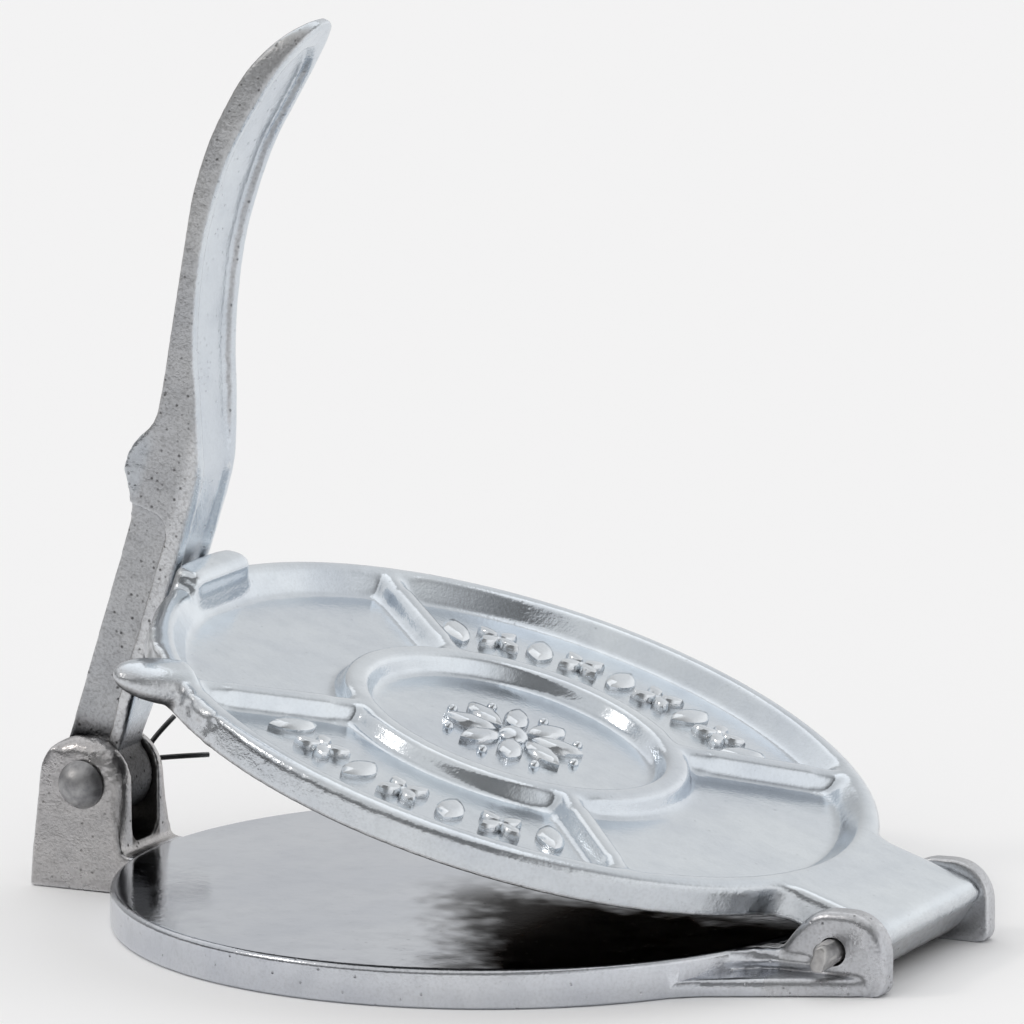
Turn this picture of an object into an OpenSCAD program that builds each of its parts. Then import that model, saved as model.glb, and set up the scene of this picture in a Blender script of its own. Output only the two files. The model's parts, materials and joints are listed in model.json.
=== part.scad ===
// Cast tortilla press: two round plates joined by a hinge, and a lever that turns in a clevis on the base.
// Origin: centre of the base plate's underside. +X from the clevis to the hinge, +Y along the hinge pin, +Z up.

/* [Base plate] */
// Diameter of the base plate
plate_d = 200; // [150:1:260]
// Thickness of the base plate
plate_t = 10.5; // [6:0.5:16]
// Bevel around the edges of both plates
edge_bevel = 1.2; // [0.4:0.1:2.5]

/* [Lid] */
// How far the lid's edge stays inside the plate's edge
lid_inset = 0.7; // [0.2:0.1:3]
// Height of the lid's rim
lid_t = 9.4; // [7:0.2:16]
// Gap between the plates when the lid is shut
lid_gap = 0.6; // [0.4:0.1:2]
// Thickness of the lid's panel inside the rim
lid_panel_t = 3.4; // [2:0.2:6]
// Width of the rim's flat top
lid_rim_w = 5.2; // [3:0.2:10]
// Run of the sloping inner wall of the rim
lid_rim_slope = 5.4; // [1:0.2:9]
// Angle at which the lid stands open
lid_open = 18; // [0:1:60]

/* [Ring and ribs on the lid] */
// Inner diameter of the raised ring
ring_d = 82; // [50:1:120]
// Width of the ring's flat top
ring_w = 5.4; // [3:0.2:10]
// How far the tops of ring and ribs lie under the top of the rim
ring_drop = 0.7; // [0:0.1:3]
// Width of a rib's flat top
rib_w = 4; // [2:0.2:8]
// Run of the sloping sides of ring and ribs
rib_slope = 2.4; // [0.5:0.1:4]
// Turn of the four ribs from the front line
rib_turn = 46.5; // [30:0.5:60]

/* [Pad and lifting nub on the lid] */
// How far the pad's outer face bulges past the rim
pad_out = 1.8; // [0:0.1:2.5]
// How far the pad's middle lies to the near side of the centre line
pad_shift = 0.8; // [0:0.1:4]
// Length of the pad that the lever presses on, along Y
pad_len = 30.6; // [20:0.2:60]
// Width of the pad, along X
pad_w = 9; // [6:0.5:14]
// Height of the pad over the rim
pad_rise = 5.2; // [2:0.2:8]
// How far the lifting nub stands out from the rim
nub_len = 15; // [8:0.5:24]
// Width of the lifting nub at the rim
nub_w = 15; // [10:0.5:24]
// Direction of the lifting nub around the lid
nub_turn = 227.5; // [200:0.5:240]

/* [Hinge] */
// Distance from the lid's edge to the hinge pin
hinge_reach = 15.2; // [13:0.1:25]
// Height of the hinge pin's centre
hinge_z = 11; // [9:0.2:18]
// Diameter of the hinge pin
hinge_pin_d = 6.6; // [4:0.2:9]
// Clearance around the hinge pin in the barrel, on the radius
hinge_run = 0.08; // [0.05:0.01:0.1]
// Play of the hinge pin in the ears, on the radius
ear_play = 0.5; // [0.3:0.05:0.8]
// Radius of the barrel at the back of the lid
barrel_r = 9.5; // [7:0.1:14]
// How far the barrel's heel reaches past the hinge pin, to the back
heel_back = 11.6; // [9:0.1:16]
// Radius of the heel at the top of the barrel
heel_r = 3.5; // [2:0.1:6]
// Length of the barrel
barrel_len = 60; // [30:1:80]
// Thickness of an ear
ear_t = 6.6; // [4:0.2:12]
// Clearance between the barrel and an ear
ear_gap = 0.4; // [0.3:0.1:1]
// Height of the ears
ear_h = 21.4; // [16:0.1:30]
// How far the ears reach past the hinge pin, to the back
ear_back = 14.8; // [9:0.1:20]
// How far the ears reach past the hinge pin, to the front
ear_front = 13.6; // [10:0.1:20]
// Height of the ridge that ties an ear to the plate
ridge_h = 5; // [2:0.5:8]
// How far the ridge stands out from the ear
ridge_out = 2; // [0.5:0.1:4]
// Length of the pin's flattened end
swage_len = 4; // [2:0.5:8]
// How far the pin stands out past the near ear
pin_out = 9.5; // [5:0.5:15]
// Diameter of the hinge pin's round head
pin_head_d = 10.4; // [8:0.2:16]
// Thickness of the hinge pin's round head
pin_head_t = 2.4; // [1:0.2:5]

/* [Clevis] */
// Clearance between the lid's pad and the cheeks
pad_clear = 1.1; // [0.6:0.1:4]
// Height of the lever's pin
pivot_z = 28.6; // [20:0.2:45]
// Rounding of the cheeks around the lever's pin
cheek_r = 12.2; // [8:0.2:18]
// Thickness of a cheek beside the pin's head
cheek_t = 6.4; // [4:0.2:12]
// Width of the slot between the cheeks
slot_w = 15; // [8:0.5:24]
// Height of the slot's floor
slot_z = 12.5; // [8:0.5:16]
// How far the cheeks widen backwards to the foot
cheek_foot = 3; // [0:0.5:8]

// Slope of the cheeks' outer faces, in degrees
cheek_draft = 4.5; // [0:0.5:8]
// Rounding along the cheeks' outer top edges
cheek_round = 4.5; // [1:0.5:6]

/* [Clevis pin and split pin] */
// Diameter of the lever's pin
clevis_pin_d = 7; // [4:0.2:10]
// Clearance around the lever's pin, on the radius
clevis_run = 0.08; // [0.05:0.01:0.1]
// Diameter of the domed head
dome_d = 13.2; // [9:0.2:18]
// Height of the domed head
dome_h = 4.6; // [2:0.2:6.5]
// Gap between the domed head and the cheek
head_gap = 0.2; // [0.1:0.05:0.5]
// How far the pin stands out past the far cheek
pin_tail = 6.5; // [5:0.5:10]
// Wire diameter of one leg of the split pin
leg_d = 1.5; // [1:0.1:2]
// Diameter of the split pin's eye, at the middle of the wire
eye_d = 4.6; // [3.5:0.1:7]
// Length of the longer leg, from the pin's centre
leg_len = 20.7; // [12:0.5:24]

/* [Lever] */
// Gap between the lever and the lid's pad where the pad passes it
lever_gap = 0.35; // [0.2:0.05:1]
// Length of the lever from its pin to its tip
lever_len = 218; // [160:1:300]
// Thickness of the lever's round end in the slot
lever_boss_w = 14; // [7:0.5:23]
// Radius of the lever's round end
lever_boss_r = 10.8; // [8:0.2:14]
// Width of the grip
grip_w = 28; // [18:0.5:40]
// Width of the shaft above the slot
shaft_w = 18; // [12:0.5:26]
// Distance from the pin line to the front of the shaft
shaft_front = 4.4; // [3:0.1:8]
// How far the shaft's front swells where it rests on the pad
rest_swell = 1.7; // [0:0.1:3]
// Distance from the pin line to the back of the shaft
shaft_back = 10.8; // [7:0.1:14]
// Depth of the knee's bump on the back
knee_bump = 2.8; // [0.5:0.1:5]
// Thickness of the front flange of the shaft
flange_t = 4; // [2:0.2:8]
// Depth of the pocket in each side of the shaft
pocket_depth = 2.4; // [1:0.1:4]
// Width of the border around the channel in the grip
channel_border = 4.4; // [2:0.1:8]
// Depth of the channel in the grip
channel_depth = 2; // [0.5:0.1:3.5]

/* [Hidden] */
$fn = 96;

tin = [0.72, 0.74, 0.76];
steel = [0.66, 0.67, 0.69];
dark_wire = [0.13, 0.13, 0.14];

over = 1; // how far cutters and joined shapes reach past a face
plate_r = plate_d / 2;
lid_r = plate_r - lid_inset;

// Heights of the shut lid
lid_z = plate_t + lid_gap;
lid_top = lid_z + lid_t;
panel_z = lid_z + lid_panel_t;
ring_top = lid_top - ring_drop;
ring_r = ring_d / 2;
pad_top = lid_top + pad_rise;
pad_round = 0.36 * pad_w;
pad_bow_r = 1.7 * pad_len; // the outer face bulges most in its middle
rib_angles = [rib_turn - 3, 180 - rib_turn + 5.5, 180 + rib_turn + 2.5, 360 - rib_turn + 1];

// Hinge
hinge_x = lid_r + hinge_reach;
barrel_half = barrel_len / 2;
ear_in = barrel_half + ear_gap;
ear_out = ear_in + ear_t;
ear_hole_r = hinge_pin_d / 2 + ear_play;
ear_shift = 0.7 * ear_play; // the pin lies against the front of its hole
ear_front_r = 10.4;
ear_back_r = 10.6;
ear_foot_r = 3;
heel_x = heel_back - heel_r;
heel_z = lid_top - hinge_z - heel_r;
apron_fillet = 8;
land_gap = 1.5; // clearance between the barrel and the land across the base
ridge_z = plate_t - 2 - ridge_h / 2;
swage_flat = 4.4; // thickness left between the two flats at the pin's end
swage_slope = 12;
swage_turn = 20;

// Clevis
pivot_x = -lid_r - pad_out - pad_clear - cheek_r;
clevis_half = slot_w / 2 + cheek_t;
foot_front = -plate_r + 0.3; // the clevis runs into the plate just outside the shut lid's edge
flare_r = 4;
front_x = pivot_x + cheek_r;
back_x = pivot_x - cheek_r;

// Split pin
shank_r = 0.9 * leg_d;
cross_hole_r = shank_r + 0.15;
cross_y = clevis_half + head_gap + cross_hole_r + 1.6;
cross_turn = 20; // slope of the hole for the split pin
leg_bend = clevis_pin_d / 2 + 0.6; // where the legs are bent apart
leg_low = [0.752, 0.037, 0.658]; // along X, along Z, along Y
leg_high = [0.437, 0.713, 0.548];
high_share = 0.79; // the upper leg is the shorter one

// The lever leans until its front comes within the gap of the circle that the pad's edge swings on
pin_line = [hinge_x - pivot_x, pivot_z - hinge_z];
pad_reach = norm([hinge_x + lid_r + pad_out - pad_round, pad_top - pad_round - hinge_z]) + pad_round;
pad_line = pad_reach + shaft_front + rest_swell + lever_gap;
lever_lean = atan2(pin_line[1], pin_line[0]) + acos(pad_line / norm(pin_line));

// Lever: height along the lever as a share of its length, front, back and half width at each height
grip_half = grip_w / 2;
shaft_half = shaft_w / 2;
lever_stations = [
    [0.045, shaft_front, -shaft_back, lever_boss_w / 2 - 0.1],
    [0.075, shaft_front, -shaft_back, lever_boss_w / 2],
    [0.12, shaft_front, -shaft_back, shaft_half - 0.6],
    [0.2, shaft_front + 0.6 * rest_swell, -shaft_back, shaft_half],
    [0.25, shaft_front + rest_swell, -shaft_back, shaft_half + 0.5],
    [0.33, shaft_front + rest_swell, -shaft_back, shaft_half + 1.2],
    [0.375, shaft_front + 0.8 * rest_swell, -shaft_back - 0.4 * knee_bump, shaft_half + 1.4],
    [0.405, shaft_front + 1, -shaft_back - knee_bump, shaft_half + 1.5],
    [0.435, shaft_front + 0.2, -shaft_back - 0.9 * knee_bump, shaft_half + 1.9],
    [0.475, shaft_front - 2.6, -shaft_back + 0.2, shaft_half + 2.8],
    [0.515, shaft_front - 5.8, -shaft_back - 0.6, grip_half - 1.7],
    [0.56, shaft_front - 9.8, -shaft_back - 2, grip_half - 1.3],
    [0.62, shaft_front - 13.5, -shaft_back - 3.8, grip_half - 0.9],
    [0.69, shaft_front - 16.4, -shaft_back - 6, grip_half - 0.5],
    [0.755, shaft_front - 17.2, -shaft_back - 7.8, grip_half],
    [0.82, shaft_front - 16.5, -shaft_back - 7.7, grip_half],
    [0.88, shaft_front - 13.9, -shaft_back - 6, grip_half - 0.2],
    [0.93, shaft_front - 11.4, -shaft_back - 3.2, grip_half - 1.4],
    [0.97, shaft_front - 8.8, -shaft_back + 0.9, grip_half - 4.8],
    [0.993, shaft_front - 7, -shaft_back + 4.4, grip_half - 9],
    [1, shaft_front - 7.4, -shaft_back + 6.2, grip_half - 12]
];
curve_steps = 3; // straight pieces between two stations
pocket_from = 0.075;
pocket_to = 0.355;
channel_from = 0.49;
channel_to = 0.965;

// A smooth curve through a list of points, with its ends kept
function at(list, i) = list[max(0, min(len(list) - 1, i))];
function between(a, b, c, d, t) =
    0.5 * (2 * b + (c - a) * t + (2 * a - 5 * b + 4 * c - d) * t * t + (3 * b - a - 3 * c + d) * t * t * t);
function smooth(list) = concat(
    [for (i = [0:len(list) - 2], s = [0:curve_steps - 1])
        between(at(list, i - 1), list[i], list[i + 1], at(list, i + 2), s / curve_steps)],
    [list[len(list) - 1]]);
function reversed(list) = [for (i = [len(list) - 1:-1:0]) list[i]];
function arc(centre, r, from, to, steps = 12) =
    [for (i = [0:steps]) centre + r * [cos(from + (to - from) * i / steps), sin(from + (to - from) * i / steps)]];

lever_curve = smooth(lever_stations);
lever_heights = [for (s = lever_curve) s[0] * lever_len];

// Sets a flat outline upright: its x stays along X and its y becomes height
module upright(thickness) {
    rotate([90, 0, 0])
        linear_extrude(height = thickness, center = true)
            children();
}

// Sets a flat outline across: its x lies along Y and its y becomes height
module across(length) {
    rotate([90, 0, 90])
        linear_extrude(height = length)
            children();
}

module cylinder_y(r, from, to, x = 0, z = 0) {
    translate([x, from, z])
        rotate([-90, 0, 0])
            cylinder(r = r, h = to - from);
}

module rod(start, end, r) {
    way = end - start;
    translate(start)
        rotate([0, acos(way[2] / norm(way)), atan2(way[1], way[0])])
            cylinder(r = r, h = norm(way));
}

// ---- Base: plate, clevis, hinge ears ----

module plate() {
    rotate_extrude($fn = 180)
        polygon([
            [0, 0], [plate_r - edge_bevel, 0], [plate_r, edge_bevel],
            [plate_r, plate_t - edge_bevel], [plate_r - edge_bevel, plate_t], [0, plate_t]
        ]);
}

module clevis_outline() {
    translate([pivot_x, pivot_z])
        circle(r = cheek_r);
    polygon(concat(
        [[back_x - cheek_foot, 0], [back_x - cheek_foot, plate_t / 2], [back_x, pivot_z], [front_x, pivot_z]],
        arc([front_x + flare_r, plate_t + flare_r], flare_r, 180, 270 - 25),
        [[foot_front, plate_t - over], [foot_front + 2 * over, plate_t - over], [foot_front + 2 * over, 0]]
    ));
}

// Half width of the clevis at a height: its outer faces lean inwards to the top
function clevis_half_at(z) = clevis_half + (pivot_z - dome_d / 2 - z) * tan(cheek_draft);

module clevis_face() {
    top = pivot_z + cheek_r;
    edge = clevis_half_at(top - cheek_round) - cheek_round;
    polygon(concat(
        [[-clevis_half_at(0), 0], [clevis_half_at(0), 0]],
        arc([edge, top - cheek_round], cheek_round, 0, 90, 8),
        arc([-edge, top - cheek_round], cheek_round, 90, 180, 8)
    ));
}

module clevis() {
    difference() {
        intersection() {
            upright(2 * clevis_half_at(0) + over)
                clevis_outline();
            translate([2 * pivot_x, 0, 0])
                across(-2 * pivot_x)
                    clevis_face();
        }
        translate([back_x - cheek_foot - over, -slot_w / 2, slot_z])
            cube([2 * cheek_r + cheek_foot + 20, slot_w, pivot_z + cheek_r]);
        cylinder_y(clevis_pin_d / 2 + clevis_run, -2 * clevis_half, 2 * clevis_half, pivot_x, pivot_z);
    }
}

module ear_outline() {
    left = hinge_x - ear_front;
    right = hinge_x + ear_back;
    polygon(concat(
        [[plate_r - 12, 0]],
        arc([right - ear_foot_r, ear_foot_r], ear_foot_r, 270, 360, 4),
        arc([right - ear_back_r, ear_h - ear_back_r], ear_back_r, 0, 90),
        arc([left + ear_front_r, ear_h - ear_front_r], ear_front_r, 90, 180),
        [[left, plate_t], [plate_r - 12, plate_t]]
    ));
}

module ear(side) {
    difference() {
        union() {
            translate([0, side * (ear_in + ear_t / 2), 0])
                upright(ear_t)
                    ear_outline();
            translate([0, side * ear_out, 0])
                upright(2 * ridge_out)
                    ridge_outline();
        }
        cylinder_y(ear_hole_r, -ear_out - ridge_out - over, ear_out + ridge_out + over,
            hinge_x + ear_shift, hinge_z);
    }
}

module ridge_outline() {
    end_x = hinge_x - ear_hole_r - ridge_h / 2 - 2.5;
    translate([end_x, ridge_z])
        circle(d = ridge_h);
    translate([plate_r - 12, ridge_z - ridge_h / 2])
        square([end_x - plate_r + 12, ridge_h]);
}

module base_casting() {
    color(tin) union() {
        plate();
        clevis();
        ear(-1);
        ear(1);
        translate([plate_r - 12, -ear_in - over, 0])
            cube([hinge_x - barrel_r - land_gap - plate_r + 12, 2 * (ear_in + over), plate_t - edge_bevel]);
    }
}

// ---- Lid: rim, panel, ring, ribs, pad, nub, apron and barrel, drawn shut ----

module lid_disc() {
    rotate_extrude($fn = 180)
        polygon([
            [0, lid_z], [lid_r - edge_bevel / 2, lid_z], [lid_r, lid_z + edge_bevel / 2],
            [lid_r, lid_top - edge_bevel], [lid_r - edge_bevel, lid_top],
            [lid_r - lid_rim_w, lid_top], [lid_r - lid_rim_w - lid_rim_slope, panel_z],
            [ring_r + ring_w + rib_slope, panel_z], [ring_r + ring_w, ring_top],
            [ring_r, ring_top], [ring_r - rib_slope, panel_z], [0, panel_z]
        ]);
}

module rib(turn) {
    start = ring_r + ring_w / 2;
    rib_h = ring_top - panel_z;
    foot = rib_w / 2 + rib_slope * (rib_h + over) / rib_h;
    rotate([0, 0, turn])
        translate([start, 0, 0])
            across(lid_r - lid_rim_w / 2 - start)
                polygon([
                    [-foot, panel_z - over], [foot, panel_z - over],
                    [rib_w / 2, ring_top], [-rib_w / 2, ring_top]
                ]);
}

module pad() {
    outer = -lid_r - pad_out;
    inner = outer + pad_w;
    lip_z = lid_top - 3; // the bulge starts above the foot of the clevis
    intersection() {
        translate([0, -pad_shift, 0])
            upright(pad_len) {
                polygon([
                    [outer + pad_out + over, panel_z - over], [inner, panel_z - over], [inner, pad_top - pad_round],
                    [inner - pad_round, pad_top], [outer + pad_round, pad_top], [outer, pad_top - pad_round],
                    [outer, lip_z], [outer + pad_out + over, lip_z - pad_out - over]
                ]);
                for (x = [outer + pad_round, inner - pad_round])
                    translate([x, pad_top - pad_round])
                        circle(r = pad_round);
            }
        translate([outer + pad_bow_r, -pad_shift, 0])
            cylinder(r = pad_bow_r, h = pad_top + over, $fn = 180);
    }
}

module nub() {
    root = lid_r - lid_rim_w / 2;
    reach = nub_len + lid_rim_w / 2;
    mid_z = lid_z + lid_t / 2;
    rotate([0, 0, nub_turn])
        intersection() {
            translate([root, 0, lid_z])
                linear_extrude(height = lid_t)
                    polygon(nub_outline(reach, nub_w / 2));
            translate([root, 0, mid_z])
                upright(nub_w + over)
                    polygon(nub_outline(reach, lid_t / 2));
        }
}

// Half of a rounded bullet: full width at the root, round at the tip
function nub_outline(reach, half) =
    [for (t = [-90:10:90]) [reach * pow(cos(t), 0.8), half * sin(t)]];

// The apron starts under the rim's flat top, so the panel inside the rim stays free
module apron() {
    start_x = lid_r - lid_rim_w + 0.2;
    tangent_x = sqrt(pow(lid_r + apron_fillet, 2) - pow(barrel_half + apron_fillet, 2));
    fillet_centre = [tangent_x, barrel_half + apron_fillet];
    meet = fillet_centre * lid_r / norm(fillet_centre);
    translate([0, 0, lid_z])
        linear_extrude(height = lid_t) {
            translate([start_x, -barrel_half])
                square([hinge_x - start_x, barrel_len]);
            for (side = [-1, 1])
                scale([1, side])
                    difference() {
                        polygon([[meet[0] - 3, barrel_half - over], [tangent_x, barrel_half - over],
                            [tangent_x, barrel_half], meet, meet * (lid_r - 3) / lid_r]);
                        translate(fillet_centre)
                            circle(r = apron_fillet);
                    }
        }
}

module barrel_outline() {
    translate([hinge_x, hinge_z])
        circle(r = barrel_r);
    translate([hinge_x + heel_x, hinge_z + heel_z])
        circle(r = heel_r);
    polygon([
        [hinge_x - barrel_r, hinge_z], [hinge_x, lid_top], [hinge_x + heel_x, lid_top],
        [hinge_x + heel_back, hinge_z + heel_z], [hinge_x + heel_back - 0.4, hinge_z + 1.5],
        [hinge_x + barrel_r * 0.96, hinge_z - barrel_r * 0.28]
    ]);
}

module lid_shut() {
    difference() {
        union() {
            lid_disc();
            for (turn = rib_angles)
                rib(turn);
            pad();
            nub();
            apron();
            upright(barrel_len)
                barrel_outline();
        }
        cylinder_y(hinge_pin_d / 2 + hinge_run, -barrel_half - over, barrel_half + over, hinge_x, hinge_z);
    }
}

module lid_casting() {
    color(tin)
        translate([hinge_x, 0, hinge_z])
            rotate([0, lid_open, 0])
                translate([-hinge_x, 0, -hinge_z])
                    lid_shut();
}

// ---- Lever ----

module lever_side(grow_front, grow_back) {
    count = len(lever_curve) - 1;
    polygon(concat(
        [for (i = [0:count]) [lever_curve[i][1] + grow_front, lever_heights[i]]],
        reversed([for (i = [0:count]) [lever_curve[i][2] - grow_back, lever_heights[i]]])
    ));
}

module lever_face(inset, from, to) {
    rows = [for (i = [0:len(lever_curve) - 1]) if (lever_curve[i][0] >= from && lever_curve[i][0] <= to) i];
    right = [for (i = rows) [lever_curve[i][3] - inset, lever_heights[i]]];
    left = [for (i = rows) [inset - lever_curve[i][3], lever_heights[i]]];
    polygon(concat(right, reversed(left)));
}

module lever_body() {
    depth = 2 * (shaft_front + shaft_back);
    intersection() {
        upright(grip_w + 2 * over)
            lever_side(0, 0);
        translate([-depth, 0, 0])
            across(2 * depth)
                lever_face(0, 0, 1);
    }
    cylinder_y(lever_boss_r, -lever_boss_w / 2, lever_boss_w / 2);
    // the shaft's root, down to the round end
    translate([-shaft_back, -lever_boss_w / 2 + 0.1, 0])
        cube([shaft_back + shaft_front, lever_boss_w - 0.2, lever_heights[1]]);
}

module side_pocket(side) {
    from = pocket_from * lever_len;
    to = pocket_to * lever_len;
    round_r = 5;
    edge = shaft_front - flange_t;
    back = -shaft_back - knee_bump - 4;
    intersection() {
        translate([0, side * grip_w, 0])
            upright(2 * grip_w)
                polygon(concat(
                    [[back, from], [edge, from]],
                    arc([edge - round_r, to - round_r], round_r, 0, 90, 6),
                    [[back, to]]
                ));
        // everything outside the web between the two pockets
        difference() {
            translate([back, -grip_w, from - over])
                cube([edge - back + over, 2 * grip_w, to - from + 2 * over]);
            translate([back - over, 0, 0])
                across(edge - back + 3 * over)
                    lever_face(pocket_depth, 0, 0.5);
        }
    }
}

module grip_channel() {
    intersection() {
        difference() {
            upright(grip_w)
                lever_side(grip_w, 0);
            upright(grip_w + over)
                lever_side(-channel_depth, grip_w);
        }
        translate([-grip_w, 0, 0])
            across(3 * grip_w)
                lever_face(channel_border, channel_from, channel_to);
    }
}

module lever() {
    color(tin)
        translate([pivot_x, 0, pivot_z])
            rotate([0, lever_lean, 0])
                difference() {
                    lever_body();
                    side_pocket(-1);
                    side_pocket(1);
                    grip_channel();
                    cylinder_y(clevis_pin_d / 2 + clevis_run, -grip_w, grip_w);
                }
}

// ---- Pins ----

// A domed cap standing along +Z, its flat face at the origin
module dome() {
    ball_r = (pow(dome_d / 2, 2) + dome_h * dome_h) / (2 * dome_h);
    intersection() {
        translate([0, 0, dome_h - ball_r])
            sphere(r = ball_r);
        cylinder(r = dome_d / 2 + over, h = dome_h + over);
    }
}

module cotter_hole() {
    translate([pivot_x, cross_y, pivot_z])
        rotate([0, -cross_turn, 0])
            translate([-clevis_pin_d, 0, 0])
                rotate([0, 90, 0])
                    cylinder(r = cross_hole_r, h = 2 * clevis_pin_d);
}

module clevis_pin() {
    head_y = -clevis_half - head_gap;
    color(steel) difference() {
        union() {
            cylinder_y(clevis_pin_d / 2, head_y, clevis_half + pin_tail, pivot_x, pivot_z);
            translate([pivot_x, head_y, pivot_z])
                rotate([90, 0, 0])
                    dome();
        }
        cotter_hole();
    }
}

// The split pin: a round shank through the clevis pin, an eye at one end and two legs bent apart at the other
module cotter_pin() {
    leg_r = leg_d / 2;
    eye_r = eye_d / 2;
    eye_x = -clevis_pin_d / 2 - eye_r - leg_r - 0.3;
    color(dark_wire)
        translate([pivot_x, cross_y, pivot_z]) {
            rotate([0, -cross_turn, 0]) {
                rod([eye_x + eye_r, 0, 0], [leg_bend, 0, 0], shank_r);
                translate([leg_bend, 0, 0])
                    sphere(r = shank_r);
                translate([eye_x, 0, 0])
                    rotate([90, 0, 0])
                        rotate_extrude()
                            translate([eye_r, 0])
                                circle(r = leg_r, $fn = 48);
            }
            bent_leg(leg_low, leg_len);
            bent_leg(leg_high, leg_len * high_share);
        }
}

module bent_leg(way, reach) {
    start = leg_bend * [cos(cross_turn), 0, sin(cross_turn)];
    rod(start, reach * [way[0], way[2], way[1]], leg_d / 2);
}

module hinge_pin() {
    near_end = -ear_out - pin_out;
    head_y = ear_out + ear_gap;
    color(steel) {
        difference() {
            cylinder_y(hinge_pin_d / 2, near_end, head_y + over, hinge_x, hinge_z);
            // two flats squeezed into the near end
            for (side = [-1, 1])
                translate([hinge_x, near_end, hinge_z])
                    rotate([0, swage_turn, 0])
                        mirror([side > 0 ? 0 : 1, 0, 0])
                            translate([swage_flat / 2, 0, 0])
                                rotate([0, 0, -swage_slope])
                                    translate([0, -swage_len, -hinge_pin_d])
                                        cube([hinge_pin_d, 2 * swage_len, 2 * hinge_pin_d]);
        }
        cylinder_y(pin_head_d / 2, head_y, head_y + pin_head_t, hinge_x, hinge_z);
    }
}

base_casting();
lid_casting();
lever();
clevis_pin();
cotter_pin();
hinge_pin();
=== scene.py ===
# %% [markdown]
# # A cast tortilla press
# The press is two heavy round plates, a lid hinged to a base, and a lever that turns in a fork
# (the clevis) and pushes the lid down. All three castings are coated in tin, so they are silver grey,
# soft at every edge, and rough wherever the sand of the mould left its grain. Three steel pins hold
# them together. Each casting is modelled here over its solid from the frame, in metres, in the same
# place, and it rides on the body that moves it.

# %% Load the frame
import json
import math
import random

import bmesh
import bpy
from mathutils import Matrix, Vector, noise


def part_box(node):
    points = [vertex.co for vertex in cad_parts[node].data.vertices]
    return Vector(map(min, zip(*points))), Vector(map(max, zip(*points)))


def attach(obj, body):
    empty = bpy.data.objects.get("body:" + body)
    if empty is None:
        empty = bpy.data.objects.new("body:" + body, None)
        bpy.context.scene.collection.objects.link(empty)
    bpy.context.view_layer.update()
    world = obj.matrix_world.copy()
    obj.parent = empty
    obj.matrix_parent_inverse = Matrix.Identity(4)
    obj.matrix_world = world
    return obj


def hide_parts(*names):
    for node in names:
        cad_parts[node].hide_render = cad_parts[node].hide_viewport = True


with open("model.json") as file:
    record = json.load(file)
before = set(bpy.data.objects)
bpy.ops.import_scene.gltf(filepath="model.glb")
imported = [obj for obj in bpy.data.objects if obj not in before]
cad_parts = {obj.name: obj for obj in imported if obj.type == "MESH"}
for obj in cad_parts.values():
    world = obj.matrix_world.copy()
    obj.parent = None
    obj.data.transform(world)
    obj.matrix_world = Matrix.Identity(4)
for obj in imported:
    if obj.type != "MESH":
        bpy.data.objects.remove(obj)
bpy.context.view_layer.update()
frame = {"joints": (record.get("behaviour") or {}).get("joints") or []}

MM = 0.001
joint_at = {joint["name"]: Vector(joint["pos_m"]) / MM for joint in frame["joints"]}
hinge_x, _, hinge_z = joint_at["lid_hinge"]
pivot_x, _, pivot_z = joint_at["lever_pivot"]
lid_open = -min(joint["range_deg"][0] for joint in frame["joints"] if joint["name"] == "lid_hinge")
print("hinge pin at", round(hinge_x, 2), round(hinge_z, 2), "mm, open by", lid_open, "degrees")
print("lever pin at", round(pivot_x, 2), round(pivot_z, 2), "mm")

# %% [markdown]
# ## The camera
# The press is seen from its hinge side, a little from above, with a long lens, so that the circles of
# both plates are nearly true ellipses. The camera looks at a point over the middle of the base.

# %% Camera
VIEW_TURN = 25.795
VIEW_HEIGHT = 10.927
VIEW_ROLL = -0.179
VIEW_DISTANCE = 2621.7
VIEW_TARGET = (6.73, 0, 110.0)
LENS = 353.2

bpy.ops.object.camera_add()
camera = bpy.context.object
camera.name = "camera"
camera.data.lens = LENS
camera.data.sensor_width = 36
camera.data.clip_end = 20
around = Matrix.Rotation(math.radians(VIEW_TURN), 4, "Z")
lift = Matrix.Rotation(math.radians(90 - VIEW_HEIGHT), 4, "X")
roll = Matrix.Rotation(math.radians(VIEW_ROLL), 4, "Z")
back_off = Matrix.Translation((0, 0, VIEW_DISTANCE * MM))
camera.matrix_world = Matrix.Translation(Vector(VIEW_TARGET) * MM) @ around @ lift @ roll @ back_off
bpy.context.scene.camera = camera
print("camera at", [round(v, 3) for v in camera.matrix_world.translation])

# %% [markdown]
# ## The bench tools
# Everything below is made with the same few moves. A point is drawn along an outline, and the outline
# is pushed out into a solid or turned round an axis. Edges are then picked by their place and rounded.
# Picking by place keeps each step readable, because no step depends on the number that Blender
# happens to give an edge.

# %% Picking
def only(*objects):
    """Selects these objects and nothing else; the last one is active."""
    bpy.ops.object.select_all(action="DESELECT")
    for obj in objects:
        obj.select_set(True)
    bpy.context.view_layer.objects.active = objects[-1]


def enter(obj):
    """Opens obj in edit mode."""
    only(obj)
    bpy.ops.object.mode_set(mode="EDIT")


def leave():
    """Back to object mode."""
    bpy.ops.object.mode_set(mode="OBJECT")


def pick_edges(obj, wanted):
    """Selects the edges of obj for which wanted(middle in mm, edge) is true, in edit mode."""
    bpy.ops.mesh.select_mode(type="EDGE")
    bpy.ops.mesh.select_all(action="DESELECT")
    mesh = bmesh.from_edit_mesh(obj.data)
    mesh.normal_update()
    for edge in mesh.edges:
        edge.select_set(wanted((edge.verts[0].co + edge.verts[1].co) / 2 / MM, edge))
    bmesh.update_edit_mesh(obj.data)


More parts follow.
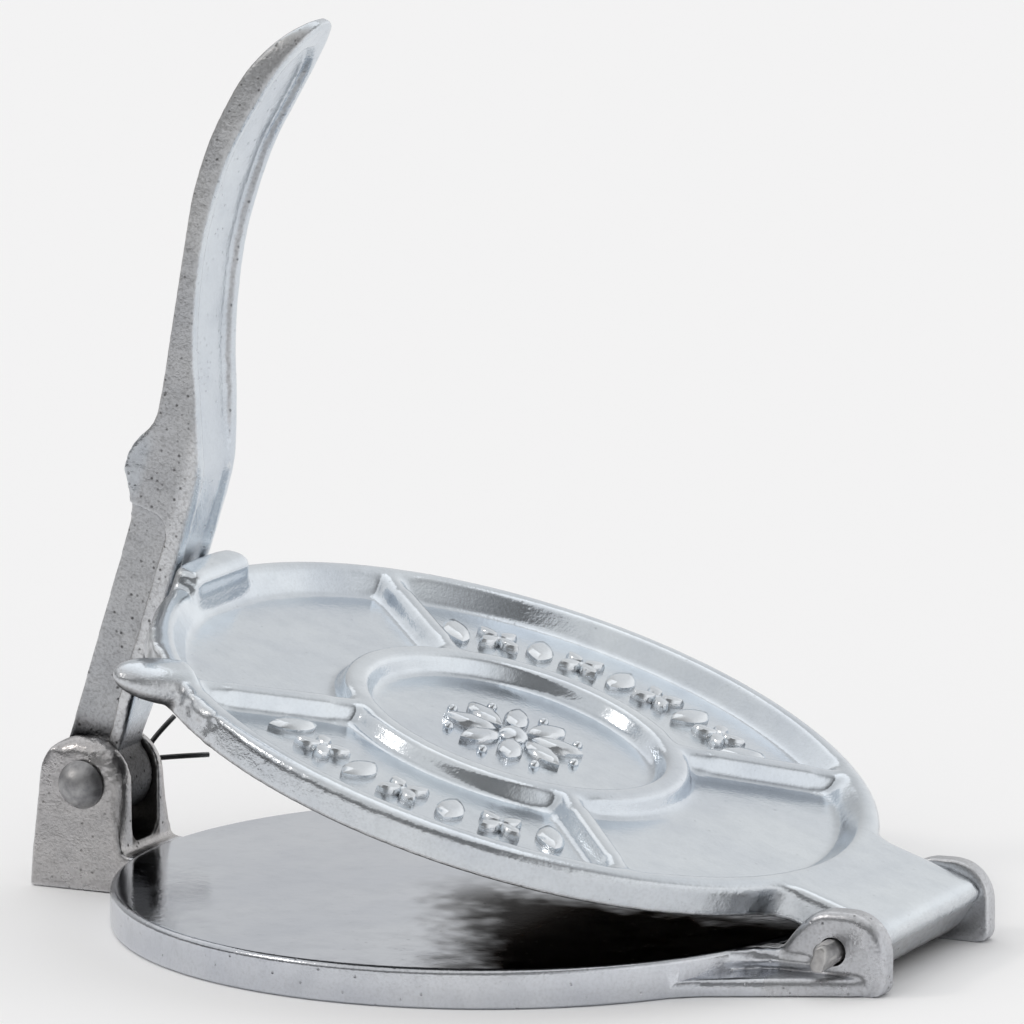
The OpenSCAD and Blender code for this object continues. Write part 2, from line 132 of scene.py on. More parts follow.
def pick_faces(obj, wanted):
    """Selects the faces of obj for which wanted(middle in mm, normal) is true, in edit mode."""
    bpy.ops.mesh.select_mode(type="FACE")
    bpy.ops.mesh.select_all(action="DESELECT")
    mesh = bmesh.from_edit_mesh(obj.data)
    mesh.normal_update()
    for face in mesh.faces:
        face.select_set(wanted(face.calc_center_median() / MM, face.normal))
    bmesh.update_edit_mesh(obj.data)


def sharp(edge):
    """True for an edge where two faces meet at more than about 57 degrees."""
    return len(edge.link_faces) == 2 and edge.calc_face_angle(0) > 1


# %% [markdown]
# ## Drawing
# Every solid starts as one point that is extruded along an outline. The outline is then filled and
# pushed out, or spun round an axis as on a lathe. A curve object could do the same, but a drawn mesh
# can be edited at once. Arcs are worked out from their centre and radius, so that each round stays a
# true round at any size.

# %% Drawing
def draw_line(name, points):
    """Draws a point along a line of (x, y, z) places in mm, and stays in edit mode."""
    bpy.ops.object.select_all(action="DESELECT")
    bpy.ops.mesh.primitive_plane_add(size=MM)
    obj = bpy.context.object
    obj.name = name
    bpy.ops.object.mode_set(mode="EDIT")
    bpy.ops.mesh.select_mode(type="VERT")
    bpy.ops.mesh.select_all(action="SELECT")
    bpy.ops.mesh.merge(type="CENTER")
    places = [Vector(point) * MM for point in points]
    bpy.ops.transform.translate(value=places[0])
    for here, there in zip(places, places[1:]):
        bpy.ops.mesh.extrude_region_move(TRANSFORM_OT_translate={"value": there - here})
    return obj


def close_shell():
    """Closes seams and turns every face outwards, in edit mode."""
    bpy.ops.mesh.select_all(action="SELECT")
    bpy.ops.mesh.remove_doubles(threshold=0.002 * MM)
    bpy.ops.mesh.normals_make_consistent(inside=False)


def push_out(name, outline, way):
    """Fills a closed outline of places in mm and pushes it out by way, also in mm."""
    obj = draw_line(name, outline)
    bpy.ops.mesh.select_all(action="SELECT")
    bpy.ops.mesh.edge_face_add()
    bpy.ops.mesh.extrude_region_move(TRANSFORM_OT_translate={"value": Vector(way) * MM})
    close_shell()
    leave()
    return obj


def turn_round(name, profile, steps, centre=(0, 0, 0), axis=(0, 0, 1)):
    """Turns a profile of places in mm once round an axis."""
    obj = draw_line(name, profile)
    bpy.ops.mesh.select_all(action="SELECT")
    bpy.ops.mesh.spin(steps=steps, angle=math.tau, center=Vector(centre) * MM, axis=axis)
    close_shell()
    leave()
    return obj


# %% Outlines and ready shapes
def arc(centre, radius, start, end, steps=8):
    """Places on an arc, as (across, up) pairs; the angles are in degrees."""
    angles = [math.radians(start + (end - start) * i / steps) for i in range(steps + 1)]
    return [(centre[0] + radius * math.cos(a), centre[1] + radius * math.sin(a)) for a in angles]


def upright(pairs, y=0.0):
    """(x, z) pairs set upright at y."""
    return [(x, y, z) for x, z in pairs]


def flat(pairs, z):
    """(x, y) pairs laid flat at z."""
    return [(x, y, z) for x, y in pairs]


def rod_along_y(name, radius, start, end, x, z, sides=64):
    """A round rod along Y from start to end, all in mm."""
    bpy.ops.object.select_all(action="DESELECT")
    bpy.ops.mesh.primitive_cylinder_add(
        vertices=sides, radius=radius * MM, depth=(end - start) * MM,
        location=Vector((x, (start + end) / 2, z)) * MM, rotation=(math.pi / 2, 0, 0))
    obj = bpy.context.object
    obj.name = name
    bpy.ops.object.transform_apply(location=True, rotation=True, scale=True)
    return obj


def pebble(name, size, place, turned=0.0):
    """A ball squashed to size (half lengths in mm), turned about Z and set at a place in mm."""
    bpy.ops.object.select_all(action="DESELECT")
    bpy.ops.mesh.primitive_uv_sphere_add(segments=20, ring_count=12, radius=MM)
    obj = bpy.context.object
    obj.name = name
    obj.data.transform(Matrix.Diagonal((*size, 1)))
    obj.data.transform(Matrix.Rotation(math.radians(turned), 4, "Z"))
    obj.data.transform(Matrix.Translation(Vector(place) * MM))
    return obj


# %% [markdown]
# ## Joining, cutting and moving
# A casting is the sum of simple solids, and a bore or a slot is one solid taken out of another. Each
# modifier is applied as soon as it is added, so that the next step works on real faces. Pieces are
# moved by their points and not by their origin: every finished piece has to stay at the world's
# origin, unturned, as its solid does.

# %% Joining, cutting and moving
def finish_with(obj, kind, **settings):
    """Adds a modifier with these settings and applies it."""
    only(obj)
    modifier = obj.modifiers.new(kind, kind)
    for key, value in settings.items():
        setattr(modifier, key, value)
    bpy.ops.object.modifier_apply(modifier=modifier.name)
    return obj


def cut(obj, tool, operation="DIFFERENCE"):
    """Takes tool out of obj, or adds it with UNION; the tool is used up."""
    finish_with(obj, "BOOLEAN", object=tool, operation=operation, solver="EXACT")
    bpy.data.objects.remove(tool)
    return obj


def round_edges(obj, wanted, radius, segments=4):
    """Rounds the edges of obj that are wanted."""
    enter(obj)
    pick_edges(obj, wanted)
    bpy.ops.mesh.bevel(offset=radius * MM, segments=segments, affect="EDGES")
    leave()


def join(name, parts):
    """Makes one object of parts, which may still overlap."""
    only(*parts)
    bpy.ops.object.join()
    obj = bpy.context.object
    obj.name = name
    return obj


def turn(obj, degrees, axis, centre=(0, 0, 0)):
    """Turns the points of obj about an axis through a place in mm."""
    place = Matrix.Translation(Vector(centre) * MM)
    obj.data.transform(place @ Matrix.Rotation(math.radians(degrees), 4, Vector(axis)) @ place.inverted())
    return obj


def shift(obj, way):
    """Moves the points of obj by way, in mm."""
    obj.data.transform(Matrix.Translation(Vector(way) * MM))
    return obj


# %% [markdown]
# ## Casting
# A casting has no sharp inner corner: the molten iron rounds every meeting of two walls. That is hard
# to get with bevels where ten shapes meet, so the shapes are left overlapping and melted into one
# skin: a voxel remesh lays a fine grid over them, and a few passes of smoothing turn its steps into
# small fillets. The sand's lumps are then pressed into the rough parts with a cloud texture.

# %% Melt
def melt(obj, grain, passes):
    """Casts overlapping shells into one skin: a grid of grain mm, then softened edges."""
    finish_with(obj, "REMESH", mode="VOXEL", voxel_size=grain * MM)
    finish_with(obj, "SMOOTH", factor=0.5, iterations=passes)
    print(obj.name, "has", len(obj.data.polygons), "faces after casting")
    return obj


# %% Paint and roughen
def ease(value, low, high):
    """0 below low, 1 above high and a smooth step between; low may be the higher of the two."""
    share = min(1.0, max(0.0, (value - low) / (high - low)))
    return share * share * (3 - 2 * share)


def paint(obj, name, rule):
    """Stores rule(place in mm, normal), from 0 to 1, at every point of obj."""
    layer = obj.data.attributes.get(name) or obj.data.attributes.new(name, "FLOAT", "POINT")
    layer.data.foreach_set("value", [rule(v.co / MM, v.normal) for v in obj.data.vertices])


def roughen(obj, lump, height, rule):
    """Presses lumps of a size and height in mm into obj where rule(place, normal) is over 0."""
    group = obj.vertex_groups.new(name="rough")
    for v in obj.data.vertices:
        group.add([v.index], rule(v.co / MM, v.normal), "REPLACE")
    cloud = bpy.data.textures.new("sand", "CLOUDS")
    cloud.noise_scale = lump * MM
    cloud.noise_depth = 2
    finish_with(obj, "DISPLACE", texture=cloud, texture_coords="LOCAL", vertex_group="rough",
                strength=2 * height * MM, mid_level=0.5)
    obj.vertex_groups.remove(obj.vertex_groups["rough"])


# %% [markdown]
# ## The base plate
# The base is one casting: a round plate with the clevis at one end and two ears at the other. The
# plate is turned round its middle from a profile, which gives a true circle and a flat top that
# mirrors what stands on it. The rings across its top keep that flat part of the skin evenly shaded.

# %% Base plate
PLATE_R = 100.0
PLATE_T = 10.5
PLATE_EDGE = 1.5
lower = arc((PLATE_R - PLATE_EDGE, PLATE_EDGE), PLATE_EDGE, -90, 0, 5)
upper = arc((PLATE_R - PLATE_EDGE, PLATE_T - PLATE_EDGE), PLATE_EDGE, 0, 90, 6)
rings = [(97.6, PLATE_T)] + [(r, PLATE_T) for r in range(96, -1, -2)]
plate = turn_round("plate", upright([(0, 0), (96, 0)] + lower + upper + rings), 256)
print("plate has", len(plate.data.polygons), "faces")

# %% [markdown]
# ## The clevis
# The clevis is a thick block that grows out of the plate's edge, with a slot for the lever. Its
# cheeks are round over the pin, lean inwards so that the pattern leaves the sand, and are worn round
# along their outer front edge. The block is pushed out from its side view, its leaning sides are
# sliced off, the worn edges are rounded, and the slot is cut with a box that has rounded corners.

# %% Clevis block
CHEEK_R = 12.2
CHEEK_ROUND = 4.4
BACK_CORNER = 11.0
CLEVIS_HALF = 13.9
CLEVIS_LEAN = math.radians(4.5)
front_x = pivot_x + CHEEK_R
back_x = pivot_x - CHEEK_R
top_z = pivot_z + CHEEK_R

side = [(back_x - 3, 0), (back_x - 2.6, 10), (back_x - 1.8, 19)]
side += arc((back_x - 1 + BACK_CORNER, top_z - BACK_CORNER), BACK_CORNER, 180, 90, 10)
side += arc((pivot_x, pivot_z), CHEEK_R, 80, 0, 10)
side += arc((front_x + 1.5, PLATE_T + 1.5), 1.5, 180, 255, 4) + [(-97.5, PLATE_T - 0.4), (-97.5, 0.3)]
clevis = push_out("clevis", upright(side, -20), (0, 40, 0))
enter(clevis)
for sign in (-1, 1):
    bpy.ops.mesh.select_all(action="SELECT")
    bpy.ops.mesh.bisect(
        plane_co=Vector((0, sign * CLEVIS_HALF, 22)) * MM,
        plane_no=(0, sign * math.cos(CLEVIS_LEAN), math.sin(CLEVIS_LEAN)),
        use_fill=True, clear_outer=True)
bpy.ops.mesh.select_all(action="SELECT")
bpy.ops.mesh.normals_make_consistent(inside=False)
leave()


def outer_rim(middle, edge):
    """The edges round the outside of both cheeks."""
    across = abs(edge.verts[0].co.y - edge.verts[1].co.y) / MM
    return abs(middle.y) > 11 and across < 2 and sharp(edge)


CHEEK_FRONT = -121
round_edges(clevis, lambda m, e: outer_rim(m, e) and (m.x > CHEEK_FRONT and m.z > 12 or m.z > 39),
            CHEEK_ROUND, 6)
round_edges(clevis, lambda m, e: outer_rim(m, e) and m.x < CHEEK_FRONT, 1.2, 3)
print("clevis block is", round(clevis.dimensions.z / MM, 1), "mm high")

# %% [markdown]
# ### The slot and the bore
# The lever needs a slot to turn in and a hole for its pin. The slot is cut while the block still has
# crisp edges, so that the melting rounds its bottom corners too. The bore is drilled last, as in the
# workshop, and keeps a clean edge. The top front corner, where the metal was poured, gets coarser
# lumps than the rest.

# %% Clevis slot and bore
SLOT_HALF = 7.5
SLOT_FLOOR = 12.5
SLOT_ROUND = 4.5
PIN_BORE = 3.58
slot = [(-SLOT_HALF, 60)]
slot += arc((-SLOT_HALF + SLOT_ROUND, SLOT_FLOOR + SLOT_ROUND), SLOT_ROUND, 180, 270)
slot += arc((SLOT_HALF - SLOT_ROUND, SLOT_FLOOR + SLOT_ROUND), SLOT_ROUND, 270, 360)
slot += [(SLOT_HALF, 60)]
cut(clevis, push_out("slot", [(-140, y, z) for y, z in slot], (60, 0, 0)))
melt(clevis, 0.5, 7)
roughen(clevis, 4.0, 0.06, lambda p, n: ease(p.x, -98, -99.5) * ease(p.z, 0.6, 2.5))
roughen(clevis, 1.3, 0.26, lambda p, n: ease(p.z, 24, 33) * ease(p.x, -120, -111) * ease(n.y, 0.2, -0.4))
cut(clevis, rod_along_y("bore", PIN_BORE, -25, 25, pivot_x, pivot_z))

# %% [markdown]
# ## The hinge ears
# Two ears stand at the back edge of the plate and hold the hinge pin. An ear could be a block with a
# hole, but it is drawn from the side, because its back is a wide arc, its front slopes down to the
# plate, and its outer edge is worn round.

# %% Hinge ears
EAR_IN = 30.4
EAR_OUT = 37.0
EAR_TOP = 21.4
EAR_RIGHT = hinge_x + 14.8
# the front of an ear, from its top down, as places from the hinge line
EAR_FRONT = [(-1.5, 10.3), (-4.2, 9.6), (-6.6, 8.3), (-9, 6.2), (-11.4, 3.4), (-13.3, 0.9), (-14.8, -0.8)]
EAR_BACK_R = 10.6
EAR_ROUND = 2.2
EAR_HOLE = 3.8
hole_x = hinge_x + 0.35


def ear_plate():
    """The ear itself, drawn from the side."""
    side = [(90, 0)] + arc((EAR_RIGHT - 3, 3), 3, 270, 360, 5)
    side += arc((EAR_RIGHT - EAR_BACK_R, EAR_TOP - EAR_BACK_R), EAR_BACK_R, 0, 90, 10)
    side += [(hinge_x + x, hinge_z + z) for x, z in EAR_FRONT] + [(90, PLATE_T - 0.4)]
    obj = push_out("ear", upright(side, EAR_IN), (0, EAR_OUT - EAR_IN, 0))
    round_edges(obj, lambda m, e: m.y > EAR_OUT - 0.1 and m.x > 100 and m.z > 0.5 and sharp(e), EAR_ROUND)
    return obj


print("ears are", round(EAR_OUT - EAR_IN, 1), "mm thick, with a bore of", 2 * EAR_HOLE, "mm")

# %% [markdown]
# ### Ridge, shoulder and foot
# The plate's upper edge runs on as a shoulder and then as a ridge along the outside of each ear. Below
# it the foot flares out straight to the corner of the ear, and a hollow lies between the two. All of
# them are drawn from above: the rails leave the plate's edge in an arc that touches the circle, so the
# edge flows into them without a kink.

# %% Ridge, shoulder and foot
RIDGE_END = hinge_x - EAR_HOLE - 3.4
SHOULDER_END = 96.0
FOOT_HEIGHT = 4.8
FOOT = [(74, 66.8), (80, 60), (86.2, 55.2), (97.7, 49.8), (109.2, 44.4), (120.8, 39.4), (125, EAR_OUT),
        (125, 32), (74, 32)]


def swept_rail(name, out, end_x, low, high, sweep):
    """A rail that leaves the plate's edge in a curve of radius sweep and runs along the ear at y = out."""
    from_mid = math.sqrt((PLATE_R + sweep) ** 2 - (out + sweep) ** 2)
    start = math.degrees(math.atan2(out + sweep, from_mid))
    curve = arc((from_mid, out + sweep), sweep, 180 + start, 270, 8)
    inside = [(end_x, EAR_IN + 2), (curve[0][0] * 0.93, curve[0][1] * 0.93)]
    return push_out(name, flat(curve + [(end_x, out)] + inside, low), (0, 0, high - low))


def outer_run(middle, edge):
    """The long level edges on a rail's outer side."""
    level = abs(edge.verts[0].co.z - edge.verts[1].co.z) < MM
    return middle.y > 35 and sharp(edge) and level


def ear(sign):
    """All shapes of one ear, on the far side (1) or mirrored to the near side (-1)."""
    ridge = swept_rail("ridge", EAR_OUT + 1.5, RIDGE_END, 5.9, 8.9, 16)
    ridge_end = pebble("ridge_end", (2.4, 1.5, 1.5), (RIDGE_END, EAR_OUT, 7.4))
    waist = swept_rail("waist", EAR_OUT - 0.2, hinge_x, 0.3, 8.0, 13)
    foot = push_out("foot", flat(FOOT, 0.1), (0, 0, FOOT_HEIGHT))
    shoulder = swept_rail("shoulder", EAR_OUT + 1.2, SHOULDER_END, 5.2, PLATE_T - 0.1, 16)
    round_edges(ridge, outer_run, 1.2)
    round_edges(foot, lambda m, e: m.y > 37 and sharp(e) and m.z > 4, 1.8)
    round_edges(shoulder, outer_run, 2.0)
    parts = [ear_plate(), ridge, ridge_end, waist, foot, shoulder]
    if sign < 0:
        for part in parts:
            part.data.transform(Matrix.Diagonal((1, -1, 1, 1)))
            part.data.flip_normals()
    return parts


print("the ridge ends", round(hinge_x - RIDGE_END, 1), "mm before the hinge line")

# %% [markdown]
# ### Casting the ears
# A strip of land joins the two ears under the barrel. Ears, rails and land overlap, and the melting
# makes one skin of them with a fillet wherever two meet, which bevels couldn't follow here.

# %% Casting the ears
LAND_START = 90.0
LAND_END = 103.5
LAND_TOP = 9.3
LAND_HALF = 31.4
land_side = [(LAND_START, 0.2), (LAND_END, 0.2), (LAND_END, LAND_TOP), (LAND_START, LAND_TOP)]
land = push_out("land", upright(land_side, -LAND_HALF), (0, 2 * LAND_HALF, 0))
ears = join("ears", ear(-1) + ear(1) + [land])
melt(ears, 0.45, 14)
roughen(ears, 2.2, 0.06, lambda p, n: 1.0)
cut(ears, rod_along_y("bore", EAR_HOLE, -45, 45, hole_x, hinge_z))
ears_end = max(v.co.x for v in ears.data.vertices) / MM
print("ears reach", round(ears_end - hinge_x, 1), "mm past the hinge line")

# %% [markdown]
# ### The base in one piece
# The clevis and the ears are united with the turned plate by exact booleans. Melting all three
# together would be simpler, but it would blur the plate's top, which has to stay a mirror.

# %% The base in one piece
cut(plate, clevis, "UNION")
cut(plate, ears, "UNION")
base = plate
base.name = "base_press"
print("base has", len(base.data.polygons), "faces")

# %% [markdown]
# ### Marks on the base
# The plate's top was machined and mirrors, and the clevis and the ears are as they left the sand. In
# the nip under the lid, near the hinge, the plate's top gets painted shade and a painted dark reflection
# of the lid's underside. Masks made from place and slope are painted on the points as numbers, and the
# finish reads them later. A pattern painted this way turns with its casting, whatever the pose.

# %% Marks on the base
# where the painted shade in the nip under the lid starts and where it is full
NIP_SHADE_START = -24.0
NIP_SHADE_FULL = 6.0
SLOT_SHADE = 0.62


def plate_top(place, normal):
    """1 on the plate's machined top, 0 elsewhere."""
    level = ease(normal.z, 0.9, 0.99) * ease(abs(place.z - PLATE_T), 0.3, 0.1)
    return level * ease(place.length, 101.5, 99.5)


def on_clevis(place):
    """1 on the clevis."""
    return ease(place.x, -98.8, -100.5)


def on_ears(place):
    """1 on the ears."""
    return ease(place.x, 99.5, 101.5)


def nip_shade(place, normal):
    """Painted shade and painted dark reflection in the nip under the lid, with a blotchy edge."""
    wave = 7 * noise.noise(place / 7) + 5 * noise.noise(place / 3)
    nip = ease(place.x + 0.5 * place.y + wave, NIP_SHADE_START, NIP_SHADE_FULL)
    return plate_top(place, normal) * nip * ease(place.y + wave, 8, -22)


def deep(place):
    """0 at the open side of the nip, 1 where the painted shade is deepest."""
    return ease(place.x, 15, 50)


def base_rough(place, normal):
    """0 mirrors, 1 is bare sand skin."""
    cast = 0.3 * (1 - plate_top(place, normal)) + 0.25 * max(on_clevis(place), on_ears(place))
    return 0.03 + cast + nip_shade(place, normal) * (0.3 - 0.18 * deep(place))


def base_tone(place, normal):
    """1 is bright tin, 0 is black; the slot of the clevis and the nip under the lid get painted shade."""
    # the slot of the clevis is darkened with painted shade
    in_slot = on_clevis(place) * ease(abs(place.y), 8.2, 7.4) * ease(place.z, 11, 13)
    cast = 0.2 * on_clevis(place) + 0.12 * on_ears(place) + SLOT_SHADE * in_slot
    return 1 - cast - nip_shade(place, normal) * (0.8 + 0.13 * deep(place))


paint(base, "rough", base_rough)
paint(base, "tone", base_tone)
paint(base, "brown", lambda p, n: 0.3 * on_clevis(p))
print("marks on the base:", [layer.name for layer in base.data.attributes if layer.data_type == "FLOAT"])

# %% [markdown]
# ## The lid
# The lid is drawn shut, flat over the base, and only then swung open about the hinge pin. Its disc is
# turned from a profile with the rim and the raised ring in it, which keeps both true circles. The ribs
# are bars with sloping sides, so that the pattern leaves the sand. They only overlap the disc here:
# the fillets between them come later, when all parts of the lid are melted into one skin.

# %% Lid disc and ribs
LID_R = 99.3
LID_LOW = 11.1
LID_TOP = 20.5
PANEL = 14.5
RING_IN = 41.0
RING_OUT = 46.4
RING_TOP = 19.8
SLOPE = 2.4
RIM_FLAT = 5.2
RIM_SLOPE = 5.4
RIB_TURNS = (43.5, 139, 229, 314.5)
RIB_HALF = 2.2

rim_in = LID_R - RIM_FLAT
profile = [(0, LID_LOW)] + arc((LID_R - 0.9, LID_LOW + 0.9), 0.9, -90, 0, 4)
profile += arc((LID_R - 1.5, LID_TOP - 1.5), 1.5, 0, 90, 5)
profile += [(rim_in, LID_TOP), (rim_in - RIM_SLOPE, PANEL)]
profile += [(RING_OUT + SLOPE, PANEL), (RING_OUT, RING_TOP), (RING_IN, RING_TOP), (RING_IN - SLOPE, PANEL)]
profile += [(0, PANEL)]
disc = turn_round("disc", upright(profile), 512)


def rib(angle):
    """A bar with sloping sides from the middle of the ring to the middle of the rim."""
    start = (RING_IN + RING_OUT) / 2
    foot = RIB_HALF + SLOPE * 1.2
    section = [(start, -foot, PANEL - 1), (start, foot, PANEL - 1)]
    section += [(start, RIB_HALF, RING_TOP), (start, -RIB_HALF, RING_TOP)]
    bar = push_out("rib", section, (LID_R - RIM_FLAT / 2 - start, 0, 0))
    return turn(bar, angle, (0, 0, 1))


ribs = [rib(angle) for angle in RIB_TURNS]
print("lid disc is", round(disc.dimensions.x / MM, 1), "mm across, with", len(ribs), "ribs")

# %% [markdown]
# ### The pad
# The lever pushes on a pad at the lid's front edge. It is pushed out from its side view, which gives
# the rounded top that the lever rolls over. Its outer face isn't flat but bows like the rim, so a wide
# cylinder is kept in common with it.

# %% Pad under the lever
PAD_OUT = -101.1
PAD_IN = -90.8
PAD_FOOT = -88.2
PAD_TOP = 25.7
PAD_ROUND = 3.24
PAD_NEAR, PAD_FAR = -16.1, 14.5
BOW_R = 52.02
side = [(-99, PANEL - 1), (PAD_FOOT, PANEL - 1), (PAD_IN, LID_TOP)]
side += arc((PAD_IN - PAD_ROUND, PAD_TOP - PAD_ROUND), PAD_ROUND, 10, 90, 6)
side += arc((PAD_OUT + PAD_ROUND, PAD_TOP - PAD_ROUND), PAD_ROUND, 90, 180, 6)
side += [(PAD_OUT, 17.5), (-99, 15.4)]
pad = push_out("pad", upright(side, PAD_NEAR), (0, PAD_FAR - PAD_NEAR, 0))


def pad_end(middle, edge):
    """The edges round both ends of the pad, above the rim's wall."""
    at_end = middle.y > PAD_FAR - 0.1 or middle.y < PAD_NEAR + 0.1
    return sharp(edge) and middle.z > 17.6 and at_end


round_edges(pad, pad_end, 2.0)
bow = turn_round("bow", upright([(0, 0), (BOW_R, 0), (BOW_R, 40), (0, 40)]), 180)
shift(bow, (PAD_OUT + BOW_R, (PAD_NEAR + PAD_FAR) / 2, 0))
cut(pad, bow, "INTERSECT")
print("pad stands", round(PAD_TOP - LID_TOP, 1), "mm over the rim")

# %% [markdown]
# ### The lifting nub
# A finger lifts the lid by a blunt nub at its edge. The iron was poured in beside it, and the broken
# gate left a rough patch on the rim's wall. The nub is a bullet turned round its own length and
# squashed, which is quicker than sculpting and leaves it evenly round. The rough patch is a scatter of
# small pebbles, because a displacement alone gives no overhangs.

# %% Lifting nub
NUB_TURN = 227.5
NUB_REACH = 18.2
NUB_HALF = 8.6
NUB_THICK = 5.6
NUB_RISE = 1.4
bullet = [(-3, 0), (-3, NUB_HALF)]
for degrees in range(0, 91, 9):
    share = math.radians(degrees)
    bullet.append((NUB_REACH * math.sin(share) ** 0.8, NUB_HALF * math.cos(share)))
nub = turn_round("nub", upright(bullet[:-1] + [(NUB_REACH, 0)]), 48, axis=(1, 0, 0))
nub.data.transform(Matrix.Diagonal((1, 1, NUB_THICK / NUB_HALF, 1)))
shift(nub, (LID_R - RIM_FLAT / 2, 0, (LID_LOW + LID_TOP) / 2 + NUB_RISE))
turn(nub, NUB_TURN, (0, 0, 1))
print("nub reaches", round(NUB_REACH - RIM_FLAT / 2, 1), "mm past the rim")

# %% Rough patch of the gate
chance = random.Random(11)
blobs = []
for step in range(60):
    angle = math.radians(chance.choice((chance.uniform(206, 219), chance.uniform(234, 243))))
    size = chance.uniform(0.9, 2.2)
    place = (LID_R * math.cos(angle), LID_R * math.sin(angle), chance.uniform(13, 19.6))
    half = (0.55 * size, size, size * chance.uniform(0.5, 1))
    blobs.append(pebble("blob", half, place, math.degrees(angle)))
print("the gate left", len(blobs), "pebbles")

# %% [markdown]
# ### The apron and the barrel
# At the back the lid runs out into an apron as thick as its rim, which ends in the barrel round the
# hinge pin. The apron is drawn from above with its two fillets as true arcs that touch the rim's
# circle. It would fill part of the lid's dish, so the dish is cut out of it again. The barrel is drawn
# from the side, with a heel that holds the lid when it is wide open.

# %% Apron
BARREL_HALF = 30.0
APRON_FILLET = 8.0
tangent_x = math.sqrt((LID_R + APRON_FILLET) ** 2 - (BARREL_HALF + APRON_FILLET) ** 2)
meet = math.degrees(math.atan2(BARREL_HALF + APRON_FILLET, tangent_x))
fillet = arc((tangent_x, BARREL_HALF + APRON_FILLET), APRON_FILLET, 180 + meet, 270, 8)
far_side = [(90, fillet[0][1] * 90 / fillet[0][0])] + fillet + [(hinge_x, BARREL_HALF)]
near_side = [(x, -y) for x, y in reversed(far_side)]
apron = push_out("apron", flat(far_side + near_side, LID_LOW), (0, 0, LID_TOP - LID_LOW))
bowl = [(0, LID_LOW + 1.5), (rim_in - RIM_SLOPE * 1.3, LID_LOW + 1.5), (rim_in - RIM_SLOPE, PANEL),
        (rim_in + RIM_SLOPE / 6, LID_TOP + 1), (0, LID_TOP + 1)]
cut(apron, turn_round("bowl", upright(bowl), 256))
print("apron is", round(apron.dimensions.y / MM, 1), "mm wide where it leaves the rim")

# %% Hinge barrel
BARREL_R = 9.5
HEEL_X, HEEL_Z, HEEL_R = 7.3, 5.1, 4.3
side = arc((hinge_x, hinge_z), BARREL_R, 90, 340, 24)
side += arc((hinge_x + HEEL_X, hinge_z + HEEL_Z), HEEL_R, 5, 90, 8)
barrel = push_out("barrel", upright(side, -BARREL_HALF), (0, 2 * BARREL_HALF, 0))
collars = [rod_along_y("collar", 1.6, y - 1, y + 1, hinge_x + HEEL_X + 1.2, hinge_z + HEEL_Z + 1.2, 24)
           for y in (-BARREL_HALF + 1.1, BARREL_HALF - 1.1)]
print("barrel is", 2 * BARREL_HALF, "mm long between ears", 2 * EAR_IN, "mm apart")

# %% [markdown]
# ### The ornament
# Such lids are cast with some ornament. Two sectors here carry a border of raised leaves and small
# flowers, and the middle has a rosette. One leaf is the unit of all of it: a lens of two arcs, pushed
# up, then extruded and narrowed twice, which gives it a raised middle. Insets would do the same on a
# square, but they fold over themselves at a leaf's points. Each copy has its own mesh.

# %% Leaf and flower
ORNAMENT_R = 70.0
RELIEF = 2.4


def leaf(length, width, place, turned):
    """A pointed leaf with a raised middle; its length lies along X before it is turned."""
    bulge = (length * length / 4 + width * width / 4) / width
    lean = math.degrees(math.asin(length / 2 / bulge))
    right = arc((0, width / 2 - bulge), bulge, 90 - lean, 90 + lean, 8)
    left = [(-x, -y) for x, y in right]
    obj = push_out("leaf", flat(right[:-1] + left[:-1], -1), (0, 0, 1 + RELIEF * 0.5))
    enter(obj)
    pick_faces(obj, lambda m, n: n.z > 0.9)
    for grow, rise in ((0.8, 0.42), (0.62, 0.08)):
        bpy.ops.mesh.extrude_region_move(TRANSFORM_OT_translate={"value": (0, 0, RELIEF * rise * MM)})
        bpy.ops.transform.resize(value=(grow, grow * 0.94, 1))
    leave()
    turn(obj, turned, (0, 0, 1))
    return shift(obj, place)


def on_lid(radius, angle):
    """A place on the lid's panel."""
    return (radius * math.cos(math.radians(angle)), radius * math.sin(math.radians(angle)), PANEL)


def flower(angle):
    """Four leaves round a bud, set into the border."""
    parts = [leaf(7.2, 4.4, on_lid(3.9, quarter), quarter) for quarter in (0, 90, 180, 270)]
    parts.append(pebble("bud", (1.7, 1.7, 2.1), (0, 0, PANEL)))
    centre = on_lid(ORNAMENT_R, angle)
    return [shift(turn(part, angle + 45, (0, 0, 1)), (centre[0], centre[1], 0)) for part in parts]


print("a leaf stands", RELIEF, "mm over the panel")

# %% Borders and rosette
def border(start, end, count):
    """Leaves and flowers by turns along an arc of the lid."""
    parts = []
    for i in range(count):
        angle = start + (end - start) * i / (count - 1)
        if i % 2:
            parts += flower(angle)
        else:
            parts.append(leaf(15, 7.4, on_lid(ORNAMENT_R, angle), angle))
    return parts


ornament = border(239, 305, 7) + border(53, 130, 9)
PETALS = 8
for i in range(PETALS):
    angle = 360 / PETALS * (i + 0.5)
    ornament.append(leaf(14, 6.8, on_lid(12, angle), angle))
    ornament.append(pebble("seed", (1.5, 1.5, 1.9), on_lid(18.5, angle + 180 / PETALS)))
ornament.append(pebble("rosette", (4.4, 4.4, 3.0), (0, 0, PANEL)))
print("ornament has", len(ornament), "pieces")

# %% [markdown]
# ### Casting the lid
# All parts of the lid but the ornament are melted into one skin. Its corners between rib and rim are
# rounder than the rest, so they get more smoothing by a vertex group. The wall round the lid shows the
# sand's lumps. Large flat faces need no grid, and their small ones are dissolved, which keeps the
# piece under 200,000 triangles. The bore comes after that, and the crisp ornament joins last.

# %% Parts of the lid's skin
def around_middle(place):
    """Distance from the lid's middle in mm, and direction in degrees."""
    return math.hypot(place.x, place.y), math.degrees(math.atan2(place.y, place.x)) % 360


